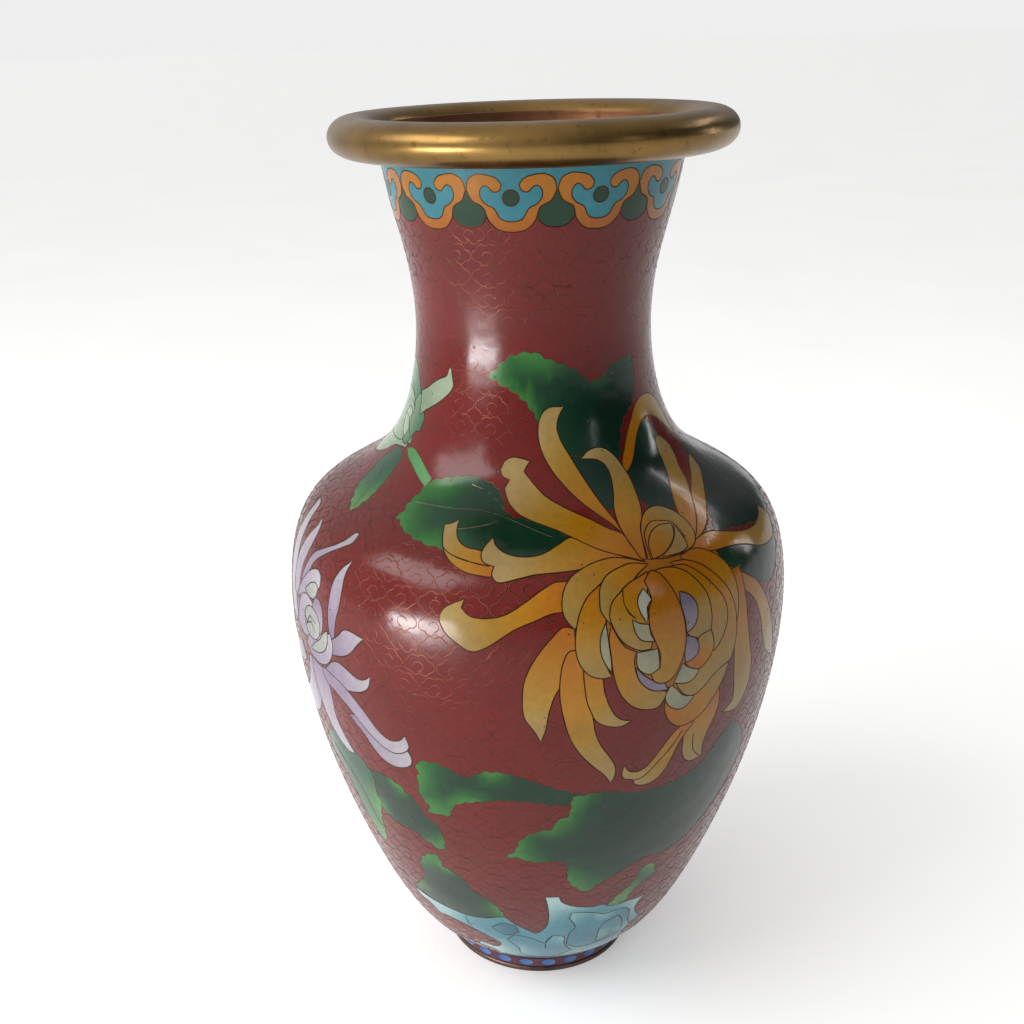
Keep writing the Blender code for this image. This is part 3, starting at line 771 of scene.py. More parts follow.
# The yellow flower, back petals first, each with its line from base to tip.
flower("b87008", (*PLAIN, (
    (22, 160), (30, 164), (44, 164), (56, 160), (59, 148), (58, 134), (50, 126), (38, 126), (24, 130),
    (15, 140), (16, 152),
)))
flower(
    ORANGE_STRAW,
    (62, 148, 83, 120, (
        (60, 153), (63, 151), (67, 148.4), (70.5, 146), (74, 141.8), (77, 136.8), (79.8, 131), (82, 125),
        (84.5, 118), (80.3, 119.8), (76.3, 123.2), (73.6, 128), (72, 133), (70, 138.5), (67.3, 142.4),
        (64.2, 144.9), (61, 147),
    )),
    (62, 145, 58, 112, (
        (60, 152), (58.5, 140), (58.2, 133), (58.3, 128), (58.9, 122), (59.8, 117), (59.6, 113.9),
        (57.6, 112.8), (55.8, 112), (58.8, 110.8), (62.3, 110.4), (65.6, 113), (67.6, 118.5), (67.2, 124),
        (65.8, 129), (64.8, 134), (64.3, 139), (64.2, 144.6), (64, 152),
    )),
    (50, 119, 47, 100, (
        (42, 113), (41.8, 107), (42.3, 103.5), (43.7, 100.8), (46, 99.4), (50.2, 99.7), (49.8, 104),
        (50.8, 108), (52.6, 112), (53.7, 116), (53, 121), (46, 118),
    )),
    (43, 113, 26, 100, (
        (42, 114), (38.5, 112), (35.5, 108.5), (32.8, 104.8), (30.5, 102.3), (28, 101.5), (25.8, 102.2),
        (24.1, 104.4), (23.5, 101.6), (24.8, 99.6), (27.2, 98.9), (27.6, 97.4), (30.5, 96.1), (34, 96.7),
        (36.4, 98.6), (38.2, 102), (40, 106.5), (42, 110), (45, 113),
    )),
    (52, 161, 92, 157, (
        (48, 160.5), (53, 163), (60, 163.5), (66, 161.6), (73, 159.3), (81, 158.2), (88, 158.8), (94, 160.5),
        (97, 156), (92, 152), (85, 151.6), (78, 153), (71, 155.8), (64, 157.5), (57, 158.3), (50, 159.5),
    )),
    (52, 164, 94, 184, (
        (50, 163), (56, 166.5), (61, 170.5), (66, 174.2), (72, 177), (80, 180), (88, 182.8), (97, 184.5),
        (92, 180), (84, 177), (76, 173.7), (68, 169.6), (62, 166), (55, 163.3),
    )),
    (54, 167, 78, 192, (
        (50, 163.5), (54, 170.5), (58, 176), (62, 179.8), (66, 183), (69.6, 187), (71.4, 190.6), (73, 193.4),
        (76, 194.3), (80.5, 193), (84, 190.2), (82, 187), (78.2, 184), (75.6, 180.8), (71, 177.2),
        (65, 172.6), (58, 167), (52, 163),
    )),
    (46, 189, 94, 198, (
        (44, 187.5), (49.5, 189.6), (54, 192.4), (59, 196.2), (64.5, 199), (70.5, 200.4), (77, 200.2),
        (84, 198.3), (91, 195), (100, 190), (97, 197), (91, 202.5), (84, 205.3), (77, 206.3), (70, 206),
        (64, 204.3), (58.5, 201.2), (53, 197.8), (48.3, 194), (44.5, 190.5),
    )),
    (6, 153, -22, 147, (
        (8.8, 157.9), (5.5, 157.8), (2, 156), (-3, 152.5), (-8, 149.5), (-13, 148.4), (-17, 148.8),
        (-19.3, 150.6), (-18.6, 152.8), (-21.5, 151.6), (-24, 150), (-25.2, 147.3), (-23.5, 144),
        (-20, 141.3), (-16, 139.6), (-12, 141.2), (-9, 143.3), (-5, 146), (0, 148.2), (4, 149.8), (9, 150.5),
    )),
    (8, 143, 0, 118, (
        (10, 146), (7.3, 146.6), (3.8, 143.5), (0, 138.6), (-2.6, 133), (-3.3, 127.5), (-2.8, 121.8),
        (-0.3, 117.8), (1.3, 114.5), (2.6, 118.5), (3.4, 123.5), (5, 128.6), (7, 132), (10, 138),
    )),
    (14, 136, 22, 119, (
        (12, 139), (17, 132.2), (17.3, 129.5), (18.4, 125.5), (20.3, 121.5), (22.3, 119.6), (25, 118.8),
        (22.5, 117.6), (19, 118), (16, 119.6), (14.2, 122.3), (13, 126), (12.2, 131.5),
    )),
    (9, 138, 19, 104, (
        (8.6, 140.3), (7, 137.5), (6.2, 133), (6.1, 128), (7, 122), (9, 115), (11.5, 110.3), (15, 106),
        (18.5, 102.3), (20.5, 99.2), (21.6, 101.5), (21.5, 104.5), (19.8, 108), (17, 112.5), (15.3, 117),
        (14.6, 121.5), (13, 126), (12.2, 132), (11.8, 136.5), (10.5, 140.5),
    )),
    (-12, 161, -29, 170, (
        (-12, 158.9), (-14, 158.9), (-20, 159.7), (-25, 162), (-28.5, 165.3), (-30.6, 169), (-32.3, 173),
        (-29.6, 173.9), (-27.6, 175.3), (-26.9, 172), (-25, 169), (-21.8, 167), (-16, 166), (-12, 163),
    )),
    (28, 162, -8, 162, (
        (32.3, 160.8), (28, 162.4), (24, 164.3), (20, 166.2), (15, 169), (12, 170.6), (7, 168.2), (2, 165.6),
        (-4, 164.9), (-9, 166), (-12.2, 168.2), (-13.6, 170.6), (-15.6, 167.8), (-16.2, 165), (-15, 162.8),
        (-11.6, 161.8), (-12, 159.6), (-10.3, 157.6), (-5, 158.6), (0, 159.8), (8, 160.4), (14, 161),
        (18, 162.5), (23, 163.2), (28, 162.3),
    )),
    (30, 164, -8, 188, (
        (32.3, 160.8), (31.2, 163), (30.3, 166.5), (29.6, 169.8), (26, 172), (21, 175.5), (16, 178.2),
        (10, 181.2), (5, 183.8), (0, 187.5), (-4.6, 190.9), (-3.6, 192.2), (-1.8, 193.7), (-6, 194.4),
        (-11, 194.6), (-14.5, 193.2), (-15.8, 191.2), (-14.5, 189.5), (-11, 188.6), (-12.8, 186),
        (-11.5, 183.6), (-9, 180.8), (-6, 178.6), (-2, 176.8), (3, 175), (8, 173), (12, 170.8), (15, 169),
        (20, 166), (24, 164.2), (28, 162.6),
    )),
    (29, 172, 8, 204, (
        (29.8, 169.5), (27.5, 173.3), (24, 177), (19, 181.5), (13, 187), (8, 191.5), (4.5, 195.5),
        (2.5, 199.5), (2.6, 203.5), (5, 206.3), (9, 207.6), (16.9, 207.6), (14, 205.3), (12.4, 202.5),
        (13.6, 199.5), (18, 194.5), (22, 189.5), (25.3, 184), (27.8, 178.5), (29.5, 174),
    )),
    (33, 165, 35, 193, (
        (31.8, 161.5), (30.6, 165.5), (29.9, 170), (30, 174), (31.3, 178.5), (33.5, 182), (35.3, 185.5),
        (36, 188.5), (35, 191), (32, 192.6), (28, 193.2), (23.2, 193.5), (27, 195.2), (31, 195.9),
        (35, 195.8), (39, 194.6), (42.5, 192), (44.6, 188.6), (45.2, 185.5), (44, 181), (42.5, 177.5),
        (40, 174), (37, 171), (35.3, 167.5), (33.8, 163.5), (33.2, 161.2),
    )),
)
flower(
    ORANGE_GREY,
    (38, 164, 50, 175, (
        (33.5, 161), (35.5, 168), (37.5, 171.4), (40.5, 174.2), (44, 175.8), (48, 176.2), (51.5, 175),
        (54.3, 172.3), (55.2, 168.5), (54.3, 165), (51.5, 162), (45, 160.5),
    )),
    (36, 162, 48, 172, (
        (34.5, 161), (35.3, 165), (37.2, 169), (42, 171.8), (46, 171.3), (49.3, 169.9), (50, 167),
        (49, 163.5), (47.5, 161.6), (41, 160.3),
    )),
    (36, 162, 47, 170, (
        (35, 160.8), (36, 165), (39, 168.3), (43.5, 170.1), (48.8, 169.7), (47, 166.5), (43, 163.5),
        (39, 161.5),
    )),
    (36, 115, 54, 128, (
        (34.4, 122), (35, 118), (37.2, 114.8), (40, 113.2), (43.5, 113.3), (47, 114.8), (50, 117.5),
        (53.5, 122), (56, 127), (48, 132), (38, 128),
    )),
    (46, 160, 60, 136, (
        (44, 160), (50, 160.8), (54, 159.2), (57.5, 156.3), (60, 152.3), (61, 148), (60.5, 142), (58.6, 135),
        (58.2, 131), (50, 140),
    )),
    (30, 162, 8, 149, (
        (33, 160.2), (28, 162.2), (23, 163.2), (18, 162.6), (13, 160.8), (9.6, 158.6), (7.6, 155.3),
        (7, 151.5), (7.8, 148.5), (10, 145.8), (14, 150), (20, 156),
    )),
    (42, 158, 50, 124, (
        (40, 159), (45, 158.6), (50, 156), (54, 152), (57.3, 147.5), (59, 142), (59.2, 137), (58.3, 131.5),
        (56.5, 128), (53, 127), (50, 125.5), (47, 123.3), (43.7, 121.8), (40.5, 122.8), (37.5, 126.5),
        (45, 132), (50, 140),
    )),
    (18, 156, 14, 134, (
        (18, 156.7), (14, 153.8), (11.6, 150), (10.3, 145), (10.2, 140), (11.5, 136), (14, 133.2),
        (17.5, 132.2), (19.3, 132.6), (18.6, 134), (17.3, 137.5), (16.6, 141), (17, 144.5), (18.2, 147),
        (19, 152),
    )),
    (32, 159, 18, 150, (
        (33, 159.8), (28, 160.9), (24, 160.2), (20, 158.6), (17.6, 155.8), (17, 152.5), (17, 150),
        (18.2, 147.8), (19.5, 146.2), (23, 150), (28, 157),
    )),
    (40, 157, 52, 134, (
        (40, 158), (44, 157.5), (48, 154.5), (52, 150), (54.8, 146), (55.7, 142), (55, 138.5), (52, 134.2),
        (50, 132.7), (46, 136), (44, 145), (40, 152),
    )),
    (20, 146, 34, 122, (
        (19.6, 146), (18.8, 143), (19.2, 138), (19.8, 133), (21.5, 127.5), (24.5, 123.5), (28, 121.5),
        (32.3, 121.2), (34, 123), (35.2, 125.3), (33, 126), (29.8, 127), (27, 129.8), (25.7, 133),
        (25.4, 136.5), (26, 138.2), (23, 140), (21, 143),
    )),
    (32, 157, 24, 140, (
        (32, 158), (30, 157.3), (26, 156), (22.5, 153.7), (20, 151.3), (19.3, 148), (20, 145.5),
        (21.5, 142.5), (23.5, 140.3), (27, 138.4), (30, 138.3), (31, 142), (30, 150),
    )),
    (36, 157, 46, 140, (
        (34.5, 158), (39, 157.9), (43, 156.3), (46.5, 152.8), (49, 148.5), (49.7, 144), (49.4, 140.5),
        (48.6, 138.6), (45, 137.9), (43.5, 138.2), (41, 140), (39, 150), (36, 155),
    )),
    (44, 132, 49, 137, (
        (44.7, 138), (49, 139), (49.9, 136), (49.6, 133), (47.5, 130.6), (44.3, 129), (41.5, 130.5),
        (40.1, 132.2), (43, 134),
    )),
)
flower(
    "c89040 bca068",
    (38, 161, 49, 169, (
        (38, 160.9), (43, 163.3), (47, 166.3), (49.4, 169.3), (49.2, 165), (48.5, 162), (45, 160.8),
    )),
)
flower(
    "a8a890 bcb894",
    (18, 146, 17, 134, (
        (18.2, 147), (16.8, 144), (16.4, 141), (17, 137.5), (18.6, 134.5), (19.3, 133.5), (19.2, 137),
        (18.8, 140.5), (18.5, 143.5),
    )),
    (26, 146, 31, 141, (
        (25.3, 146.8), (27, 145.6), (29.8, 144.8), (30.2, 142), (31.3, 140), (27.5, 141), (25.8, 143.5),
    )),
    (30, 138, 28, 132, (
        (26, 138), (32, 138), (32.4, 133), (31.7, 131.8), (29, 131.5), (26.2, 134),
    )),
    (40, 132, 42, 127, (
        (39.5, 132.3), (41, 130.8), (44.8, 128.9), (43.5, 127), (41.5, 126.2), (38.5, 126.6), (36.8, 127.3),
        (38, 129.8),
    )),
    (42, 121, 36, 125, (
        (36.2, 126.8), (38, 125), (40, 122.8), (43.7, 121.6), (42.5, 120.1), (39.8, 118.7), (37.3, 119.5),
        (35.3, 121.2), (34.4, 123.8), (35.2, 125.8),
    )),
)
flower(
    "8c7c94 a89cac",
    (41, 151, 43, 141, (
        (40, 151.3), (42.5, 150.2), (44.7, 147.5), (45, 144.5), (43.5, 141.5), (40.8, 140.2), (40.6, 144),
        (39.8, 148),
    )),
    (43, 139, 42, 132, (
        (40.6, 139.5), (43.5, 138.3), (44.7, 136), (44.3, 133.8), (42, 132.4), (40.2, 132.2), (40, 135),
    )),
    (26, 133, 34, 126, (
        (25.8, 134), (26.3, 131), (28.5, 128), (31.5, 126.2), (35, 125.8), (34, 128), (30.5, 129.5),
        (28, 131.5),
    )),
)
flower(
    "c8c8b8 d4d2c0",
    (30, 154, 29, 146, (
        (29.5, 154), (27.8, 152.3), (27.2, 150.5), (28, 147.5), (29.3, 145.3), (29.7, 147), (29.8, 149.2),
        (31.4, 150.9), (30.5, 152.5),
    )),
)
flower(
    "c07008 cc8410 c89430",
    (34, 157, 34, 129, (
        (33, 158), (30.3, 155.8), (31.3, 151), (30.2, 148.5), (30, 144), (31.3, 140), (32.6, 136.5),
        (32.5, 132.5), (30, 131.3), (31, 129), (34, 128), (36.5, 129), (38.6, 132), (40, 135.5), (40.6, 140),
        (40.2, 145), (39.2, 149.5), (37.3, 154), (35, 157.3),
    )),
)

petals(
    "lilac_chrysanthemum", LILAC,
    (-88, 122, -92, 156, (
        (-94, 128), (-97, 138), (-98, 148), (-97, 157), (-99, 163), (-94, 162), (-91, 156), (-90, 148),
        (-88, 138), (-86, 128),
    )),
    (-84, 125, -104, 130, (
        (-84, 122), (-92, 121), (-100, 124), (-106, 130), (-109, 137), (-112, 135), (-111, 127), (-106, 119),
        (-97, 114), (-88, 114), (-82, 117),
    )),
    (-80, 120, -96, 100, (
        (-78, 121), (-82, 112), (-88, 106), (-96, 103), (-103, 104), (-101, 99), (-94, 96), (-85, 98),
        (-77, 104), (-73, 113), (-73, 120),
    )),
    (-72, 120, -66, 96, (
        (-76, 121), (-76, 112), (-74, 104), (-70, 98), (-64, 94.5), (-60, 95), (-63, 99), (-66, 105),
        (-66, 113), (-67, 120),
    )),
    (-86, 134, -84, 160, (
        (-90, 136), (-90, 142), (-89.5, 146), (-87.5, 151), (-85, 155.5), (-83.5, 158.5), (-84.5, 161),
        (-82, 159.5), (-80.3, 157), (-80.3, 153.5), (-81.5, 149.5), (-83, 146), (-84, 141), (-84, 136),
    )),
    (-82, 141, -62, 162, (
        (-83, 139), (-82, 144), (-80, 148), (-77, 152), (-72, 155), (-67.5, 157.5), (-64.5, 160),
        (-62.5, 163), (-60.8, 163), (-61, 160), (-63.5, 158), (-67, 155.8), (-72, 152.5), (-75, 150),
        (-77, 147), (-78, 142),
    )),
    (-63, 134, -57, 155, (
        (-63, 132), (-64, 137), (-63.8, 143), (-62.8, 148.5), (-60.5, 152.5), (-57, 156), (-58.3, 151.5),
        (-58.4, 147), (-58.8, 142.5), (-60, 138), (-60.8, 132),
    )),
    (-62, 129, -49, 136, (
        (-63, 131), (-59, 134), (-56.5, 136.5), (-54, 137), (-51, 136.7), (-48.5, 136.3), (-51, 133.8),
        (-53.5, 130.8), (-57, 128.5), (-62, 127),
    )),
    (-66, 121, -48, 124, (
        (-68, 120), (-63, 124.5), (-60, 125.7), (-56, 125), (-52, 123.7), (-49.5, 124), (-46.5, 126),
        (-47.5, 122.5), (-50, 120.2), (-54, 118.7), (-58, 118), (-64, 118),
    )),
    (-56, 110, -38, 101, (
        (-58, 110), (-55, 107.5), (-52.5, 105.5), (-50, 102.3), (-47, 99.5), (-43, 98.2), (-39, 98.9),
        (-36, 101), (-35.6, 103.5), (-36.8, 106), (-41.5, 104.5), (-45, 105), (-49, 108), (-53, 111),
    )),
    (-66, 120, -38, 107, (
        (-69, 121), (-60, 119.5), (-55, 117), (-50, 113), (-46, 109), (-42.5, 107.3), (-39, 108.3),
        (-36.7, 110.5), (-35.8, 107), (-38, 104.5), (-41.5, 103.2), (-45, 103.8), (-49, 106), (-53, 109),
        (-57, 112), (-63, 115), (-68, 117),
    )),
    (-84, 138, -71, 147, (
        (-86, 137), (-80, 144), (-76, 147.3), (-72, 148.6), (-69.8, 147.5), (-69.3, 145), (-70, 143.5),
        (-75, 140), (-80, 137),
    )),
    (-84, 131, -72, 137, (
        (-86, 128), (-84, 134.5), (-81.5, 138), (-77.5, 139.5), (-74, 138.8), (-70, 137), (-72, 130),
        (-80, 126),
    )),
    (-72, 140, -68, 130, (
        (-71.5, 141), (-68.5, 140.5), (-66.8, 137.5), (-66.7, 134), (-68.3, 130.5), (-71, 129), (-73, 133),
        (-73, 138),
    )),
    (-76, 122, -62, 131, (
        (-79, 124), (-75.5, 121.5), (-71, 121), (-66, 122.5), (-62.8, 126), (-61.7, 130), (-62.8, 133),
        (-66, 132), (-70, 130), (-76, 128),
    )),
)
petals(
    "lilac_chrysanthemum", "a8a8a4 c6c6be",
    (-78, 141, -71, 143, (
        (-79, 140.5), (-75, 143.8), (-72, 144.6), (-70.2, 143.6), (-71, 141.5), (-72.5, 139.8), (-76, 139.5),
    )),
    (-75, 124, -64, 132, (
        (-76, 123.5), (-70, 124.5), (-66, 127), (-64.3, 130.5), (-64.3, 133.3), (-66.5, 132), (-69, 129),
        (-72, 127),
    )),
    (-78, 132, -68, 132, (
        (-78, 135), (-75, 137), (-71, 136.5), (-68.6, 134), (-68.8, 130.5), (-71, 128.2), (-75, 127.6),
        (-78, 129.5), (-79, 132),
    )),
)
petals(
    "bud", "4c8458 7ca87c a4c09c",
    (-84, 208, -122, 210, (
        (-79, 206), (-80, 207), (-86, 211), (-90, 213), (-97, 214.8), (-105, 214.8), (-115, 212.5),
        (-122, 210), (-127, 205), (-120, 202), (-108, 202), (-96, 202), (-84, 203),
    )),
)
petals(
    "bud", BUD_TINT,
    (-84, 188, -122, 188, (
        (-78, 191), (-85, 190.5), (-92, 189.5), (-100, 186), (-108, 183.5), (-115, 182.5), (-121, 184),
        (-126, 189), (-122, 193), (-112, 195), (-100, 196), (-88, 196), (-78, 196),
    )),
    (-80, 200, -124, 199, (
        (-78, 195), (-88, 192), (-97, 191.3), (-105, 191), (-115, 190.5), (-122, 193.5), (-127, 199),
        (-121, 203), (-112, 205.5), (-103, 206.5), (-94, 206), (-86, 204), (-78, 201),
    )),
)
petals(
    "bud", BUD_TINT,
    (-76, 192, -96, 201, (
        (-83, 193), (-93, 195.4), (-97, 199.6), (-91, 201.8), (-84.5, 200), (-77, 196), (-75.5, 192.5),
    )),
)
petals(
    "bud", "4c7c5c 84a47c",
    (-74, 198, -84, 203, (
        (-75, 196.3), (-71, 197), (-70, 201), (-73, 203), (-77, 206.5), (-82, 206.5), (-87, 203.5),
        (-84, 201), (-88, 198.5), (-84, 196), (-86, 192.5), (-80, 192),
    )),
)
petals(
    "bud", "90a888 b4c4a4",
    (-76, 204, -52, 214, (
        (-79.5, 207.8), (-76, 208.5), (-72, 209.5), (-66, 211.5), (-60, 213), (-55.5, 214), (-53.5, 216.3),
        (-52, 216.4), (-50.8, 214), (-49.4, 211.8), (-51, 210.2), (-56, 207.8), (-61, 206), (-66, 204.5),
        (-71, 203), (-76, 201),
    )),
)
petals(
    "bud_stem", "4c9850 74b878",
    (-72, 196, -50, 184, (
        (-77, 191.4), (-71, 192.2), (-63, 190.6), (-56, 188.4), (-49, 185.8), (-50.5, 183), (-58, 185.4),
        (-65, 187.6), (-72, 189.4),
    )),
)

# Rocks in front.
pale_tips = [(5, 50, 9), (46, 41, 7), (-48, 37, 9), (-22, 15, 7), (100, 14, 12), (26, 8, 12)]
body.cell("front_rock", ROCK_PALE, pale_tips, (
    (-57, 40), (-49, 38.5), (-40, 37.5), (-30, 37), (-22, 38), (-13, 40.5), (-10, 37.8), (-5, 34.5),
    (-0.5, 32), (1, 33), (3.5, 36), (4.5, 40), (4.3, 46), (3, 52.8), (8.2, 52.8), (9, 50.3), (12, 48),
    (17, 46.2), (22, 45.3), (26, 45.5), (29, 44), (33, 43.2), (38, 43.3), (43, 42.8), (46, 43.5), (44, 40),
    (43.8, 37), (47, 32.5), (51.5, 29), (47, 26), (44.5, 22), (50, 18), (60, 20), (75, 14.5), (90, 12),
    (107, 16), (110, 7), (80, 5), (-25, 5), (-26, 10), (-22, 12), (-24, 14.5), (-32.5, 16), (-30, 19.5),
    (-22, 18.5), (-19, 20), (-18, 22.5), (-22, 25.5), (-30, 29), (-37, 31), (-42, 31.5), (-47.5, 31),
    (-50, 34.5), (-56, 37),
))
body.cell("front_rock", ROCK_MID, [(15, 42, 5), (44, 24, 5), (28, 40, 4)], (
    (13.5, 43.3), (13.2, 40.5), (15, 37.5), (16.3, 34.5), (14.5, 31.5), (14, 27), (14.3, 23.5), (22, 19),
    (32, 20), (44.5, 22), (47, 26), (43, 31), (41, 37), (36, 40), (28, 39.5), (25, 41), (18, 43),
))
body.cell("front_rock", ROCK_MID, [(-9, 18, 5), (12, 28, 4)], (
    (-5, 12), (-9, 17), (-9, 20), (-14, 26), (-10, 30), (-4, 29), (3.8, 25), (7, 30.5), (12, 29), (13, 24),
    (18, 17), (8, 11),
))
body.cell("front_rock", ROCK_MID, [(46, 18, 6), (104, 10, 8)], (
    (46, 18), (60, 17), (75, 12), (90, 9.5), (104, 11), (104, 8), (80, 8), (54, 9),
))
body.cell("front_rock", ROCK_MID, [(29, 25, 4), (42, 25, 3)], (
    (28.5, 31), (29, 26), (30, 21), (36, 22), (42, 25), (40, 31), (36, 36), (30.5, 34),
))
body.cell("front_rock", ROCK_DEEP, [(-20, 33, 3)], ((-20, 33), (-14, 37), (-9, 36), (-8, 32), (-14, 29.5)))
petals("front_rock", MAUVE, (-20, 2, 30, 8, (
    (-25, 5), (-20, 7.4), (-8, 8), (6, 7.4), (20, 8), (30, 6), (20, 5),
)))
body.cell("broad_leaf", LEAF_LIGHT, [(30, 46, 9), (44, 60, 5)], (
    (28, 43.8), (31, 48), (35, 51.5), (37.5, 56), (38.5, 60), (43, 60), (46, 54), (42, 52), (38, 49),
    (35.5, 44),
))

# The back: a rose flower, its leaves and rocks.
REAR = (215, 124)


def round_petals(count, inner, outer, width, turn, bend, ramp):
    """A ring of petals round the rear flower's heart, each bent sideways towards its tip."""
    for k in range(count):
        start = 2 * math.pi * (k + turn) / count
        sides = []
        for reach, spread in ((0, 0.25), (0.35, 0.66), (0.68, 1.0), (0.88, 0.74), (0.97, 0.3), (1.0, 0)):
            angle = start + bend * reach**2
            along = np.array([math.cos(angle), math.sin(angle)])
            side = np.array([-along[1], along[0]]) * width * spread
            middle = REAR + along * (inner + (outer - inner) * reach)
            sides.append((middle + side, middle - side))
        line = [left for left, _ in sides] + [right for _, right in sides[-2::-1]]
        first, last = sides[0], sides[-1]
        petals("rear_chrysanthemum", ramp, (*(first[0] + first[1]) / 2, *last[0], line))


for leaf, ramp, tips, outline in (
    ("rear_leaf_a", LEAF, [(126, 86, 10), (136, 70, 8), (154, 65, 8), (148, 104, 8)], (
        (180, 96), (168, 96), (160, 101), (148, 104), (140, 98), (130, 96), (126, 86), (134, 80), (136, 70),
        (148, 72), (154, 64), (162, 74), (170, 78), (182, 92))),
    ("rear_leaf_b", LEAF, [(300, 88, 10), (284, 68, 8), (262, 66, 8), (282, 104, 8)], (
        (250, 98), (262, 96), (270, 100), (282, 104), (300, 92), (298, 82), (288, 78), (284, 68), (274, 72),
        (262, 66), (252, 88))),
    ("rear_leaf_c", LEAF, [(216, 214, 9), (236, 178, 6), (200, 176, 6)], (
        (208, 150), (204, 164), (200, 176), (208, 190), (206, 206), (216, 214), (228, 206), (226, 190),
        (236, 178), (224, 164), (222, 150))),
):
    body.cell(leaf, ramp, tips, outline)
round_petals(13, 8, 36, 6.6, 0.5, 0.22, "8c3c4c b87c80 c8a8a4")
round_petals(13, 6, 29, 5.6, 0.0, -0.2, "9c4c58 c08c8c d0b8b0")
round_petals(11, 4, 20, 4.4, 0.25, 0.3, "8c3c4c b87c80 ccb0a8")
round_petals(9, 2, 12, 3.0, 0.0, -0.35, "c07c0c cca048")
petals("rear_chrysanthemum", "c89018 a87010", (211, 120, 219, 128, oval(*REAR, 3.6, 3.6, 8)))
body.cell("rear_rock", ROCK_PALE, [(194, 48, 8), (228, 54, 9), (155, 10, 9), (290, 12, 12)], (
    (150, 5), (158, 14), (168, 22), (180, 30), (184, 40), (188, 47), (194, 49), (199, 42), (203, 38),
    (214, 44), (220, 53), (228, 56), (234, 52), (236, 40), (250, 34), (258, 22), (276, 14), (296, 12),
    (300, 5),
))
body.cell("rear_rock", ROCK_MID, [(174, 14, 6), (214, 34, 5)], (
    (172, 12), (180, 22), (192, 28), (204, 30), (214, 36), (222, 30), (218, 16), (200, 9),
))
body.cell("rear_rock", ROCK_MID, [(228, 44, 6), (250, 20, 5)], (
    (224, 22), (224, 38), (228, 46), (232, 40), (232, 30), (246, 28), (252, 18), (240, 10),
))
body.cell("rear_rock", ROCK_DEEP, [(190, 14, 4)], ((190, 14), (196, 22), (208, 26), (212, 18), (204, 12)))

# The neck border: heads in amber and turquoise, with green drops between them.


def mirrored(half, middle):
    """An outline from its right half, round the line at middle."""
    return [(middle + u, s) for u, s in half] + [(middle - u, s) for u, s in reversed(half) if u > 0]


HEAD_PITCH = 2 * HALF / HEADS
for k in range(HEADS):
    body.cell("green_drops", DROP, PLAIN, mirrored(
        ((0, 255), (4, 255.3), (7.5, 256.6), (9.5, 258.8), (9.3, 260.5), (7, 261.8), (4, 262.8), (2, 264),
         (0, 264.6)), FIRST_HEAD + (k + 0.5) * HEAD_PITCH))
for k in range(HEADS):
    middle = FIRST_HEAD + k * HEAD_PITCH
    body.cell("ruyi_heads", TURQUOISE, PLAIN, mirrored(
        ((0, 254.4), (7.5, 255.2), (11.5, 257.8), (13, 260.4), (18, 262.4), (20, 264.6), (19, 267),
         (15.5, 268), (0, 268.4)), middle), family="sky")
    body.cell("ruyi_heads", AMBER, (middle, 254, middle, 266), mirrored(
        ((0, 253.9), (4, 254.1), (7.5, 254.8), (11.5, 257.3), (13, 260), (18.5, 262), (20.7, 264.6),
         (19.5, 267), (15.5, 268.4), (10.5, 268.3), (6, 267.4), (4, 266), (4.6, 264.7), (6.5, 264.1),
         (8.2, 264.2), (9.8, 265.2), (12, 265.7), (14, 264.6), (14.2, 262.8), (11.7, 261), (8, 259.9),
         (5.5, 257.5), (3, 256.8), (0, 256.6)), middle))
    body.cell("ruyi_heads", DROP, PLAIN, oval(middle, 262.6, 3.9, 2.0))

# Veins and folds, some for each node.
for node, lines in (
    ("yellow_chrysanthemum", (
        ((45.2, 109), (46, 104), (47.5, 101.6), (49.8, 99.8)),
        ((27.2, 98.6), (30, 99), (34, 102.8), (38, 107), (41, 111.5)),
        ((-29.5, 166.3), (-26, 164.3), (-20, 162.8), (-13, 161.8)),
        ((23.7, 155), (23.5, 151), (25, 148), (26.5, 146.8)),
    )),
    ("left_leaf", (
        ((-50, 178), (-34, 178.5), (-20, 179), (-8, 176.5), (6, 171)),
        ((-28, 186.5), (-20, 184.8), (-15, 182.3), (-10.5, 179)),
        ((-31, 171.8), (-25, 172.6), (-19, 174), (-13, 176)),
    )),
    ("side_leaf", (
        ((-54, 90), (-44, 83), (-32, 71)),
    )),
    ("edge_leaf", (
        ((-74, 92), (-64, 82), (-59, 66)),
    )),
    ("bud_leaf", (
        ((-90, 186), (-82, 180), (-75, 169)),
    )),
    ("bud", (
        ((-115, 207.5), (-105, 208.5), (-98, 208), (-90, 205.5), (-84, 202.5)),
        ((-96, 199.4), (-89, 198.8), (-80, 194.8)),
        ((-86, 192.6), (-98, 195.4), (-103, 200.4), (-95, 203.8), (-85, 202.6)),
    )),
    ("lilac_chrysanthemum", (
        ((-80, 134), (-77, 131), (-74, 132.5), (-72, 130)),
        ((-78, 130), (-75, 134), (-71, 133)),
    )),
    ("front_rock", (
        ((4.2, 21), (3.8, 25), (5, 28.5), (7, 30.5)),
        ((-31, 36.5), (-31.5, 33), (-30, 30.5)),
    )),
    ("rear_leaf_a", (
        ((128, 90), (144, 88), (160, 90), (178, 94)),
        ((148, 88), (150, 78), (154, 68)),
        ((144, 88), (142, 94), (146, 101)),
    )),
    ("rear_leaf_b", (
        ((254, 94), (270, 88), (284, 88), (297, 88)),
        ((272, 88), (276, 80), (282, 71)),
        ((278, 88), (282, 94), (283, 102)),
    )),
    ("rear_leaf_c", (
        ((214, 156), (216, 172), (214, 190), (217, 210)),
        ((215, 178), (222, 182), (230, 180)),
        ((215, 186), (210, 190)),
    )),
):
    for points in lines:
        body.wire(node, *points)

# ---------------------------------------------------------------- clouds

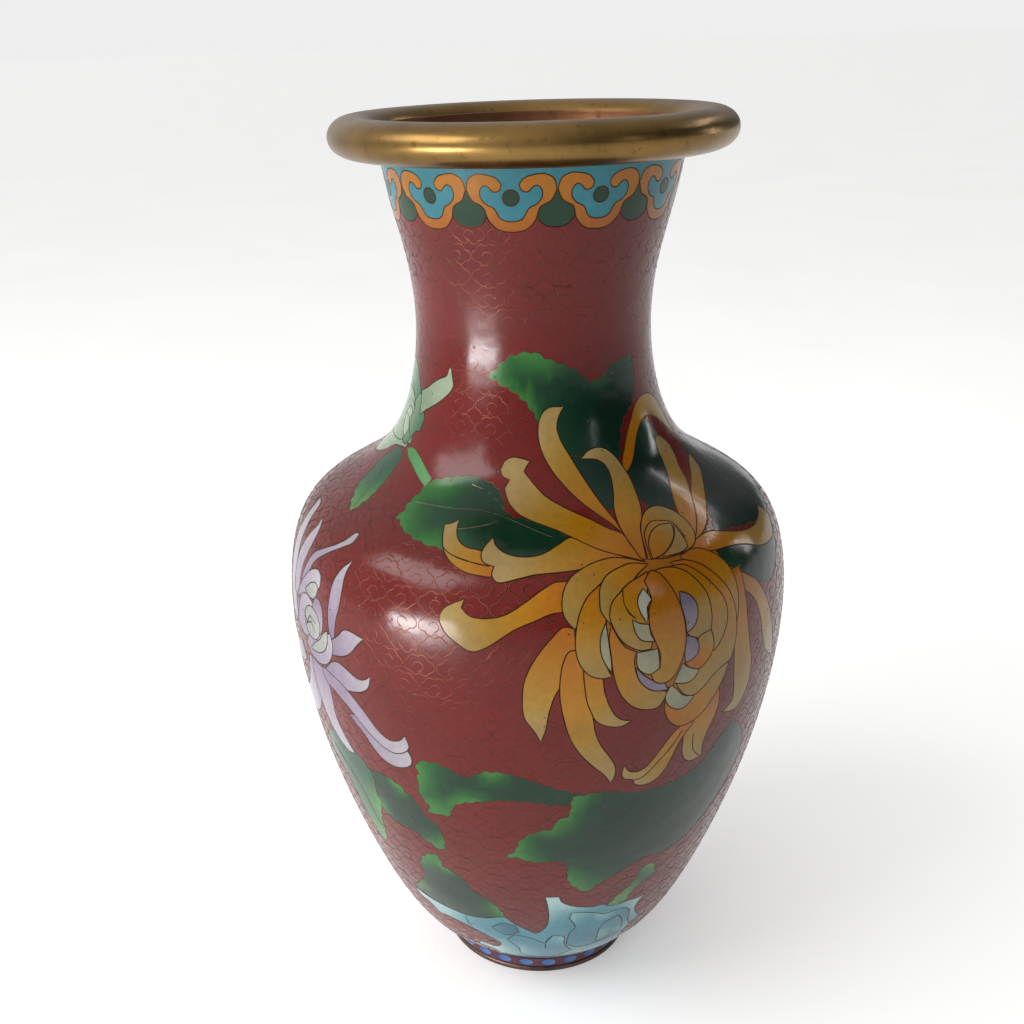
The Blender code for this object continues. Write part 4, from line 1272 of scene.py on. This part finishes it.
# The circles that a cloud's outline runs round: (across, up, radius) in mm.
LOBES = (
    (-3.1, -0.3, 1.5), (-1.5, 1.2, 1.6), (1.0, 1.4, 1.6), (3.1, 0, 1.5), (1.6, -1.3, 1.4), (-1.2, -1.4, 1.4),
)
CLOUD_WIDE, CLOUD_HIGH = 9.6, 5.7  # spacing
FIRST_ROW = 2.5  # height of the lowest clouds' middle
CLOUD_SHIFT = 0.31  # keeps the seam at the back off the middle of a cloud


def cloud_loop():
    """Scalloped ring round a set of circles, seen from its middle."""
    line = []
    for angle in np.linspace(0, 2 * math.pi, 31):
        way = (math.cos(angle), math.sin(angle))
        reach = 0
        for x, y, r in LOBES:
            along, off = x * way[0] + y * way[1], x * way[1] - y * way[0]
            if abs(off) < r:
                reach = max(reach, along + math.sqrt(r * r - off * off))
        line.append((reach * way[0], reach * way[1]))
    return np.array(line)


def hook():
    """Open loop inside a cloud."""
    angles = np.radians(np.linspace(-80, 170, 8))
    return np.stack([1.45 * np.cos(angles) - 0.2, 1.3 * np.sin(angles) - 0.4], axis=1)


def clouds(low, high):
    """The clouds of the red ground whose middles lie between two heights."""
    lines = []
    for j in range(int(BORDER_END / CLOUD_HIGH) + 1):
        s = FIRST_ROW + j * CLOUD_HIGH
        if not low <= s < high:
            continue
        stretch = float(BODY.stretch(s))
        count = round(2 * HALF / stretch / CLOUD_WIDE)
        for k in range(count):
            u = -HALF + (k + 0.5 * (j % 2) + CLOUD_SHIFT) * 2 * HALF / count
            flip = 1 if (j + k) % 2 else -1
            for shape in (cloud_loop(), hook()):
                lines.append(np.stack([u + flip * shape[:, 0] * stretch, s + shape[:, 1]], axis=1))
    inside = [line for line in lines if line[:, 1].min() > 0.3 and line[:, 1].max() < GROUND_END]
    return body.clipped(inside, "red_ground_enamel")


# ---------------------------------------------------------------- the foot band's picture

band = Picture(BAND, step=0.8, grain=2.0)
band.cell("foot_band_enamel", "7c4c60", PLAIN, rectangle(BAND, 0, 2.9, 1.5), smooth=False)
DOTS = 26
for k in range(DOTS):
    u = -BAND.half + (k + 0.5) * 2 * BAND.half / DOTS
    band.cell("foot_band_enamel", "5488dc 7cacec", (u - 2, 1, u + 2, 2), oval(u, 1.45, 2.4, 1.2))

# ---------------------------------------------------------------- pieces

body.solve()
band.solve()

PLATE_DEPTH, BAND_DEPTH = 0.9, 0.7  # the enamel plates stay clear of the copper
HEAD_NODES = [f"ruyi_head_{k + 1:02d}" for k in range(HEADS)]
DROP_NODES = [f"green_drop_{k + 1:02d}" for k in range(HEADS)]
for name, cells, slot in (
    ("red_ground", "red_ground_enamel", "red_enamel"),
    ("neck_border", "neck_border_enamel", "turquoise_enamel"),
    ("ruyi_heads", "ruyi_heads", "amber_enamel"),
    ("green_drops", "green_drops", "dark_green_enamel"),
    ("yellow_flower", "yellow_chrysanthemum", "yellow_enamel"),
    ("lilac_flower", "lilac_chrysanthemum", "lilac_enamel"),
    ("rear_flower", "rear_chrysanthemum", "rose_enamel"),
    ("bud_enamel", "bud", "pale_green_enamel"),
    ("bud_stem_enamel", "bud_stem", "leaf_green_enamel"),
    ("bud_leaf_enamel", "bud_leaf", "leaf_green_enamel"),
    ("upper_leaf_enamel", "upper_leaf", "dark_green_enamel"),
    ("inner_leaf_enamel", "inner_leaf", "dark_green_enamel"),
    ("left_leaf_enamel", "left_leaf", "leaf_green_enamel"),
    ("right_leaf_enamel", "right_leaf", "dark_green_enamel"),
    ("far_leaf_enamel", "far_leaf", "dark_green_enamel"),
    ("lower_leaf_enamel", "lower_leaf", "leaf_green_enamel"),
    ("broad_leaf_enamel", "broad_leaf", "leaf_green_enamel"),
    ("side_leaf_enamel", "side_leaf", "leaf_green_enamel"),
    ("rock_leaf_enamel", "rock_leaf", "leaf_green_enamel"),
    ("edge_leaf_enamel", "edge_leaf", "leaf_green_enamel"),
    ("front_rocks", "front_rock", "rock_blue_enamel"),
    ("rear_rocks", "rear_rock", "rock_blue_enamel"),
    ("rear_leaf_a_enamel", "rear_leaf_a", "leaf_green_enamel"),
    ("rear_leaf_b_enamel", "rear_leaf_b", "leaf_green_enamel"),
    ("rear_leaf_c_enamel", "rear_leaf_c", "dark_green_enamel"),
):
    made = body.piece(name, cells, PLATE_DEPTH, ENAMEL_FINISH)
    if name == "ruyi_heads":
        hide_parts(*HEAD_NODES)
    elif name == "green_drops":
        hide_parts(*DROP_NODES)
    else:
        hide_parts(cells)

foot_band = band.piece("foot_band", "foot_band_enamel", BAND_DEPTH, ENAMEL_FINISH)
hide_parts("foot_band_enamel")
wires("foot_band_wires", BAND, band.borders(), 0.4, COPPER_WIRE, 0.05, 0.04)

# Cells with dark wires round them; leaves have copper ones.
OUTLINED = (
    "yellow_chrysanthemum", "lilac_chrysanthemum", "rear_chrysanthemum", "bud", "front_rock", "rear_rock",
    "ruyi_heads", "green_drops", "neck_border_enamel",
)
wires("motif_wires", BODY, body.borders(*OUTLINED), 0.58, DARK_WIRE)
wires("leaf_wires", BODY, body.borders(without=OUTLINED), 0.4, COPPER_WIRE)
folds = [part for node, line in body.wires if node in OUTLINED for part in body.clipped([line], node)]
veins = [part for node, line in body.wires if node not in OUTLINED for part in body.clipped([line], node)]
wires("fold_wires", BODY, folds, 0.45, DARK_WIRE)
wires("vein_wires", BODY, veins, 0.32, VEIN_WIRE)
for name, low, high in (
    ("cloud_wires_low", 0, 80),
    ("cloud_wires_middle", 80, 125),
    ("cloud_wires_upper", 125, 175),
    ("cloud_wires_high", 175, 272),
):
    wires(name, BODY, clouds(low, high), 0.34, COPPER_WIRE, 0.04, 0.04)

rim = [(RIM_R + RIM_HALF_WIDTH * math.cos(a), RIM_Z + RIM_HALF_HEIGHT * math.sin(a))
       for a in np.linspace(0, 2 * math.pi, 40, endpoint=False)]
turned("rim", rim, BRASS, "brass", "rim_ring")


def section_at(s, offset):
    r = float(BODY.radius(s))
    out, up = BODY.lean(s)
    return r + offset * float(out), float(np.interp(s, BODY.arc, BODY.section[:, 1])) + offset * float(up)


SHELL_TOP = -(ENAMEL + GAP)
SHELL_MIDDLE = SHELL_TOP - COPPER / 2
SHELL_INSIDE = SHELL_TOP - COPPER
neck = [section_at(s, SHELL_TOP) for s in np.linspace(NECK_SEAM, BORDER_END, 40)]
neck += [(LIP_R, RIM_Z - 0.9), (LIP_R + 0.1, 256.7), (LIP_R - 0.3, 257.2), (LIP_R - 0.7, 257.1)]
neck += [(LIP_R - 0.9, 256.4), (LIP_R - 0.9, RIM_Z - 0.9)]
neck += [section_at(s, SHELL_INSIDE) for s in np.linspace(BORDER_END, NECK_SEAM - LAP, 40)]
neck += [section_at(NECK_SEAM - LAP, SHELL_MIDDLE - GAP / 2), section_at(NECK_SEAM, SHELL_MIDDLE - GAP / 2)]
turned("neck_copper", neck, OXIDISED, "copper", "neck_shell")
foot = [(FOOT_INNER_R, 0.4), (FOOT_INNER_R + 0.4, 0), (FOOT_R - 0.5, 0), (FOOT_R - 0.1, 0.3), (FOOT_R, 0.7)]
foot += [(FOOT_R, FOOT_EDGE - 0.3), (FOOT_R - 0.2, FOOT_EDGE), (FOOT_SEAT_R, FOOT_EDGE)]
foot += [(FOOT_SEAT_R, FOOT_TOP), (FOOT_INNER_R, FOOT_TOP)]
turned("foot", foot, FOOT_BRASS, "brass", "foot_ring", sharp=50)
seat = FOOT_SEAT_R + GAP
foot_line = [(seat, 5.3), (29.0, 5.3), (29.2, 5.4), (29.2, 5.65), (29.0, 5.75), (seat, 5.75)]
turned("foot_line", foot_line, FOOT_BRASS, "brass", "foot_wire")

for node in ("shoulder_shell", "belly_shell", "base_plate"):
    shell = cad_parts[node]
    shell.data.materials.clear()
    shell.data.materials.append(OXIDISED)

# ---------------------------------------------------------------- studio


def floor():
    s = Shader("pale_floor", Roughness=0.75, Emission_Color=(1, 1, 1, 1), Emission_Strength=0.3)
    s.link(s.mix(s.range(s.noise(6, 3), 0.3, 0.7, 0, 1), (0.84, 0.84, 0.83), (0.88, 0.88, 0.87)),
           s.out.inputs["Base Color"])
    mesh = bpy.data.meshes.new("floor")
    far = 30
    mesh.from_pydata([(-far, -far, 0), (far, -far, 0), (far, far, 0), (-far, far, 0)], [], [(0, 1, 2, 3)])
    mesh.materials.append(s.material)
    made = bpy.data.objects.new("floor", mesh)
    bpy.context.scene.collection.objects.link(made)


def softbox(name, turn, rise, away, size, power):
    """A rectangular light that faces the vase, turned from the front to the right and raised, in degrees."""
    data = bpy.data.lights.new(name, "AREA")
    data.shape = "RECTANGLE"
    data.size, data.size_y = size
    data.energy = power
    turn, rise = math.radians(turn), math.radians(rise)
    way = Vector((math.sin(turn) * math.cos(rise), -math.cos(turn) * math.cos(rise), math.sin(rise)))
    made = bpy.data.objects.new(name, data)
    made.location = Vector(LIGHT_AIM) + way * away
    made.rotation_euler = way.to_track_quat("Z", "Y").to_euler()
    bpy.context.scene.collection.objects.link(made)


BACKDROP = 0.86  # brightness of the room where the camera sees it
BRIGHT_SIDE = (-0.8, 0.0, 0.45)  # direction in which the room is brightest
DIM, BRIGHT = 0.07, 0.95  # the room's brightness in reflections
LIGHT_AIM = (0, -0.03, 0.17)  # the point that all lamps face


def surroundings():
    """A white room that is bright to the left and above, and dim on the right."""
    world = bpy.data.worlds.new("studio")
    world.use_nodes = True
    tree = world.node_tree
    way = tree.nodes.new("ShaderNodeTexCoord")
    towards = tree.nodes.new("ShaderNodeVectorMath")
    towards.operation = "DOT_PRODUCT"
    towards.inputs[1].default_value = BRIGHT_SIDE
    share = tree.nodes.new("ShaderNodeMapRange")
    for socket, value in zip(share.inputs[1:5], (-0.45, 0.65, DIM, BRIGHT)):
        socket.default_value = value
    background = tree.nodes["Background"]
    background.inputs["Color"].default_value = (1, 1, 1, 1)
    tree.links.new(way.outputs["Generated"], towards.inputs[0])
    tree.links.new(towards.outputs["Value"], share.inputs[0])
    seen = tree.nodes.new("ShaderNodeLightPath")
    strength = tree.nodes.new("ShaderNodeMix")
    strength.inputs[3].default_value = BACKDROP
    tree.links.new(seen.outputs["Is Camera Ray"], strength.inputs[0])
    tree.links.new(share.outputs[0], strength.inputs[2])
    tree.links.new(strength.outputs[0], background.inputs["Strength"])
    bpy.context.scene.world = world


floor()
surroundings()
softbox("window", -66, 40, 1.1, (0.8, 0.5), 7)
softbox("low_panel", -50, -7, 0.8, (0.38, 0.1), 4.4)
softbox("right_strip", 125, 35, 0.9, (0.4, 0.01), 0.4)
softbox("right_post", 113, 12, 0.9, (0.02, 0.25), 0.35)
softbox("front_post", 55, 20, 0.9, (0.012, 0.25), 0.15)

# The camera looks down at the vase from the front, with a slight turn and tilt.
YAW, PITCH, ROLL = -0.0734, 0.3639, -0.0334  # radians
CAMERA_PLACE = (0, -0.35116, 0.27945)
ahead = Vector((math.sin(YAW) * math.cos(PITCH), math.cos(YAW) * math.cos(PITCH), -math.sin(PITCH)))
level = Vector((math.cos(YAW), -math.sin(YAW), 0))
upward = level.cross(ahead)
across = level * math.cos(ROLL) + upward * math.sin(ROLL)
upright = upward * math.cos(ROLL) - level * math.sin(ROLL)
lens = bpy.data.cameras.new("camera")
lens.sensor_width = 36
lens.lens = 44.17
lens.shift_x = 0.0627
camera = bpy.data.objects.new("camera", lens)
pose = Matrix((across, upright, -ahead)).transposed().to_4x4()
pose.translation = CAMERA_PLACE
camera.matrix_world = pose
bpy.context.scene.collection.objects.link(camera)
bpy.context.scene.camera = camera
bpy.context.scene.view_settings.view_transform = "Standard"

bpy.context.view_layer.update()
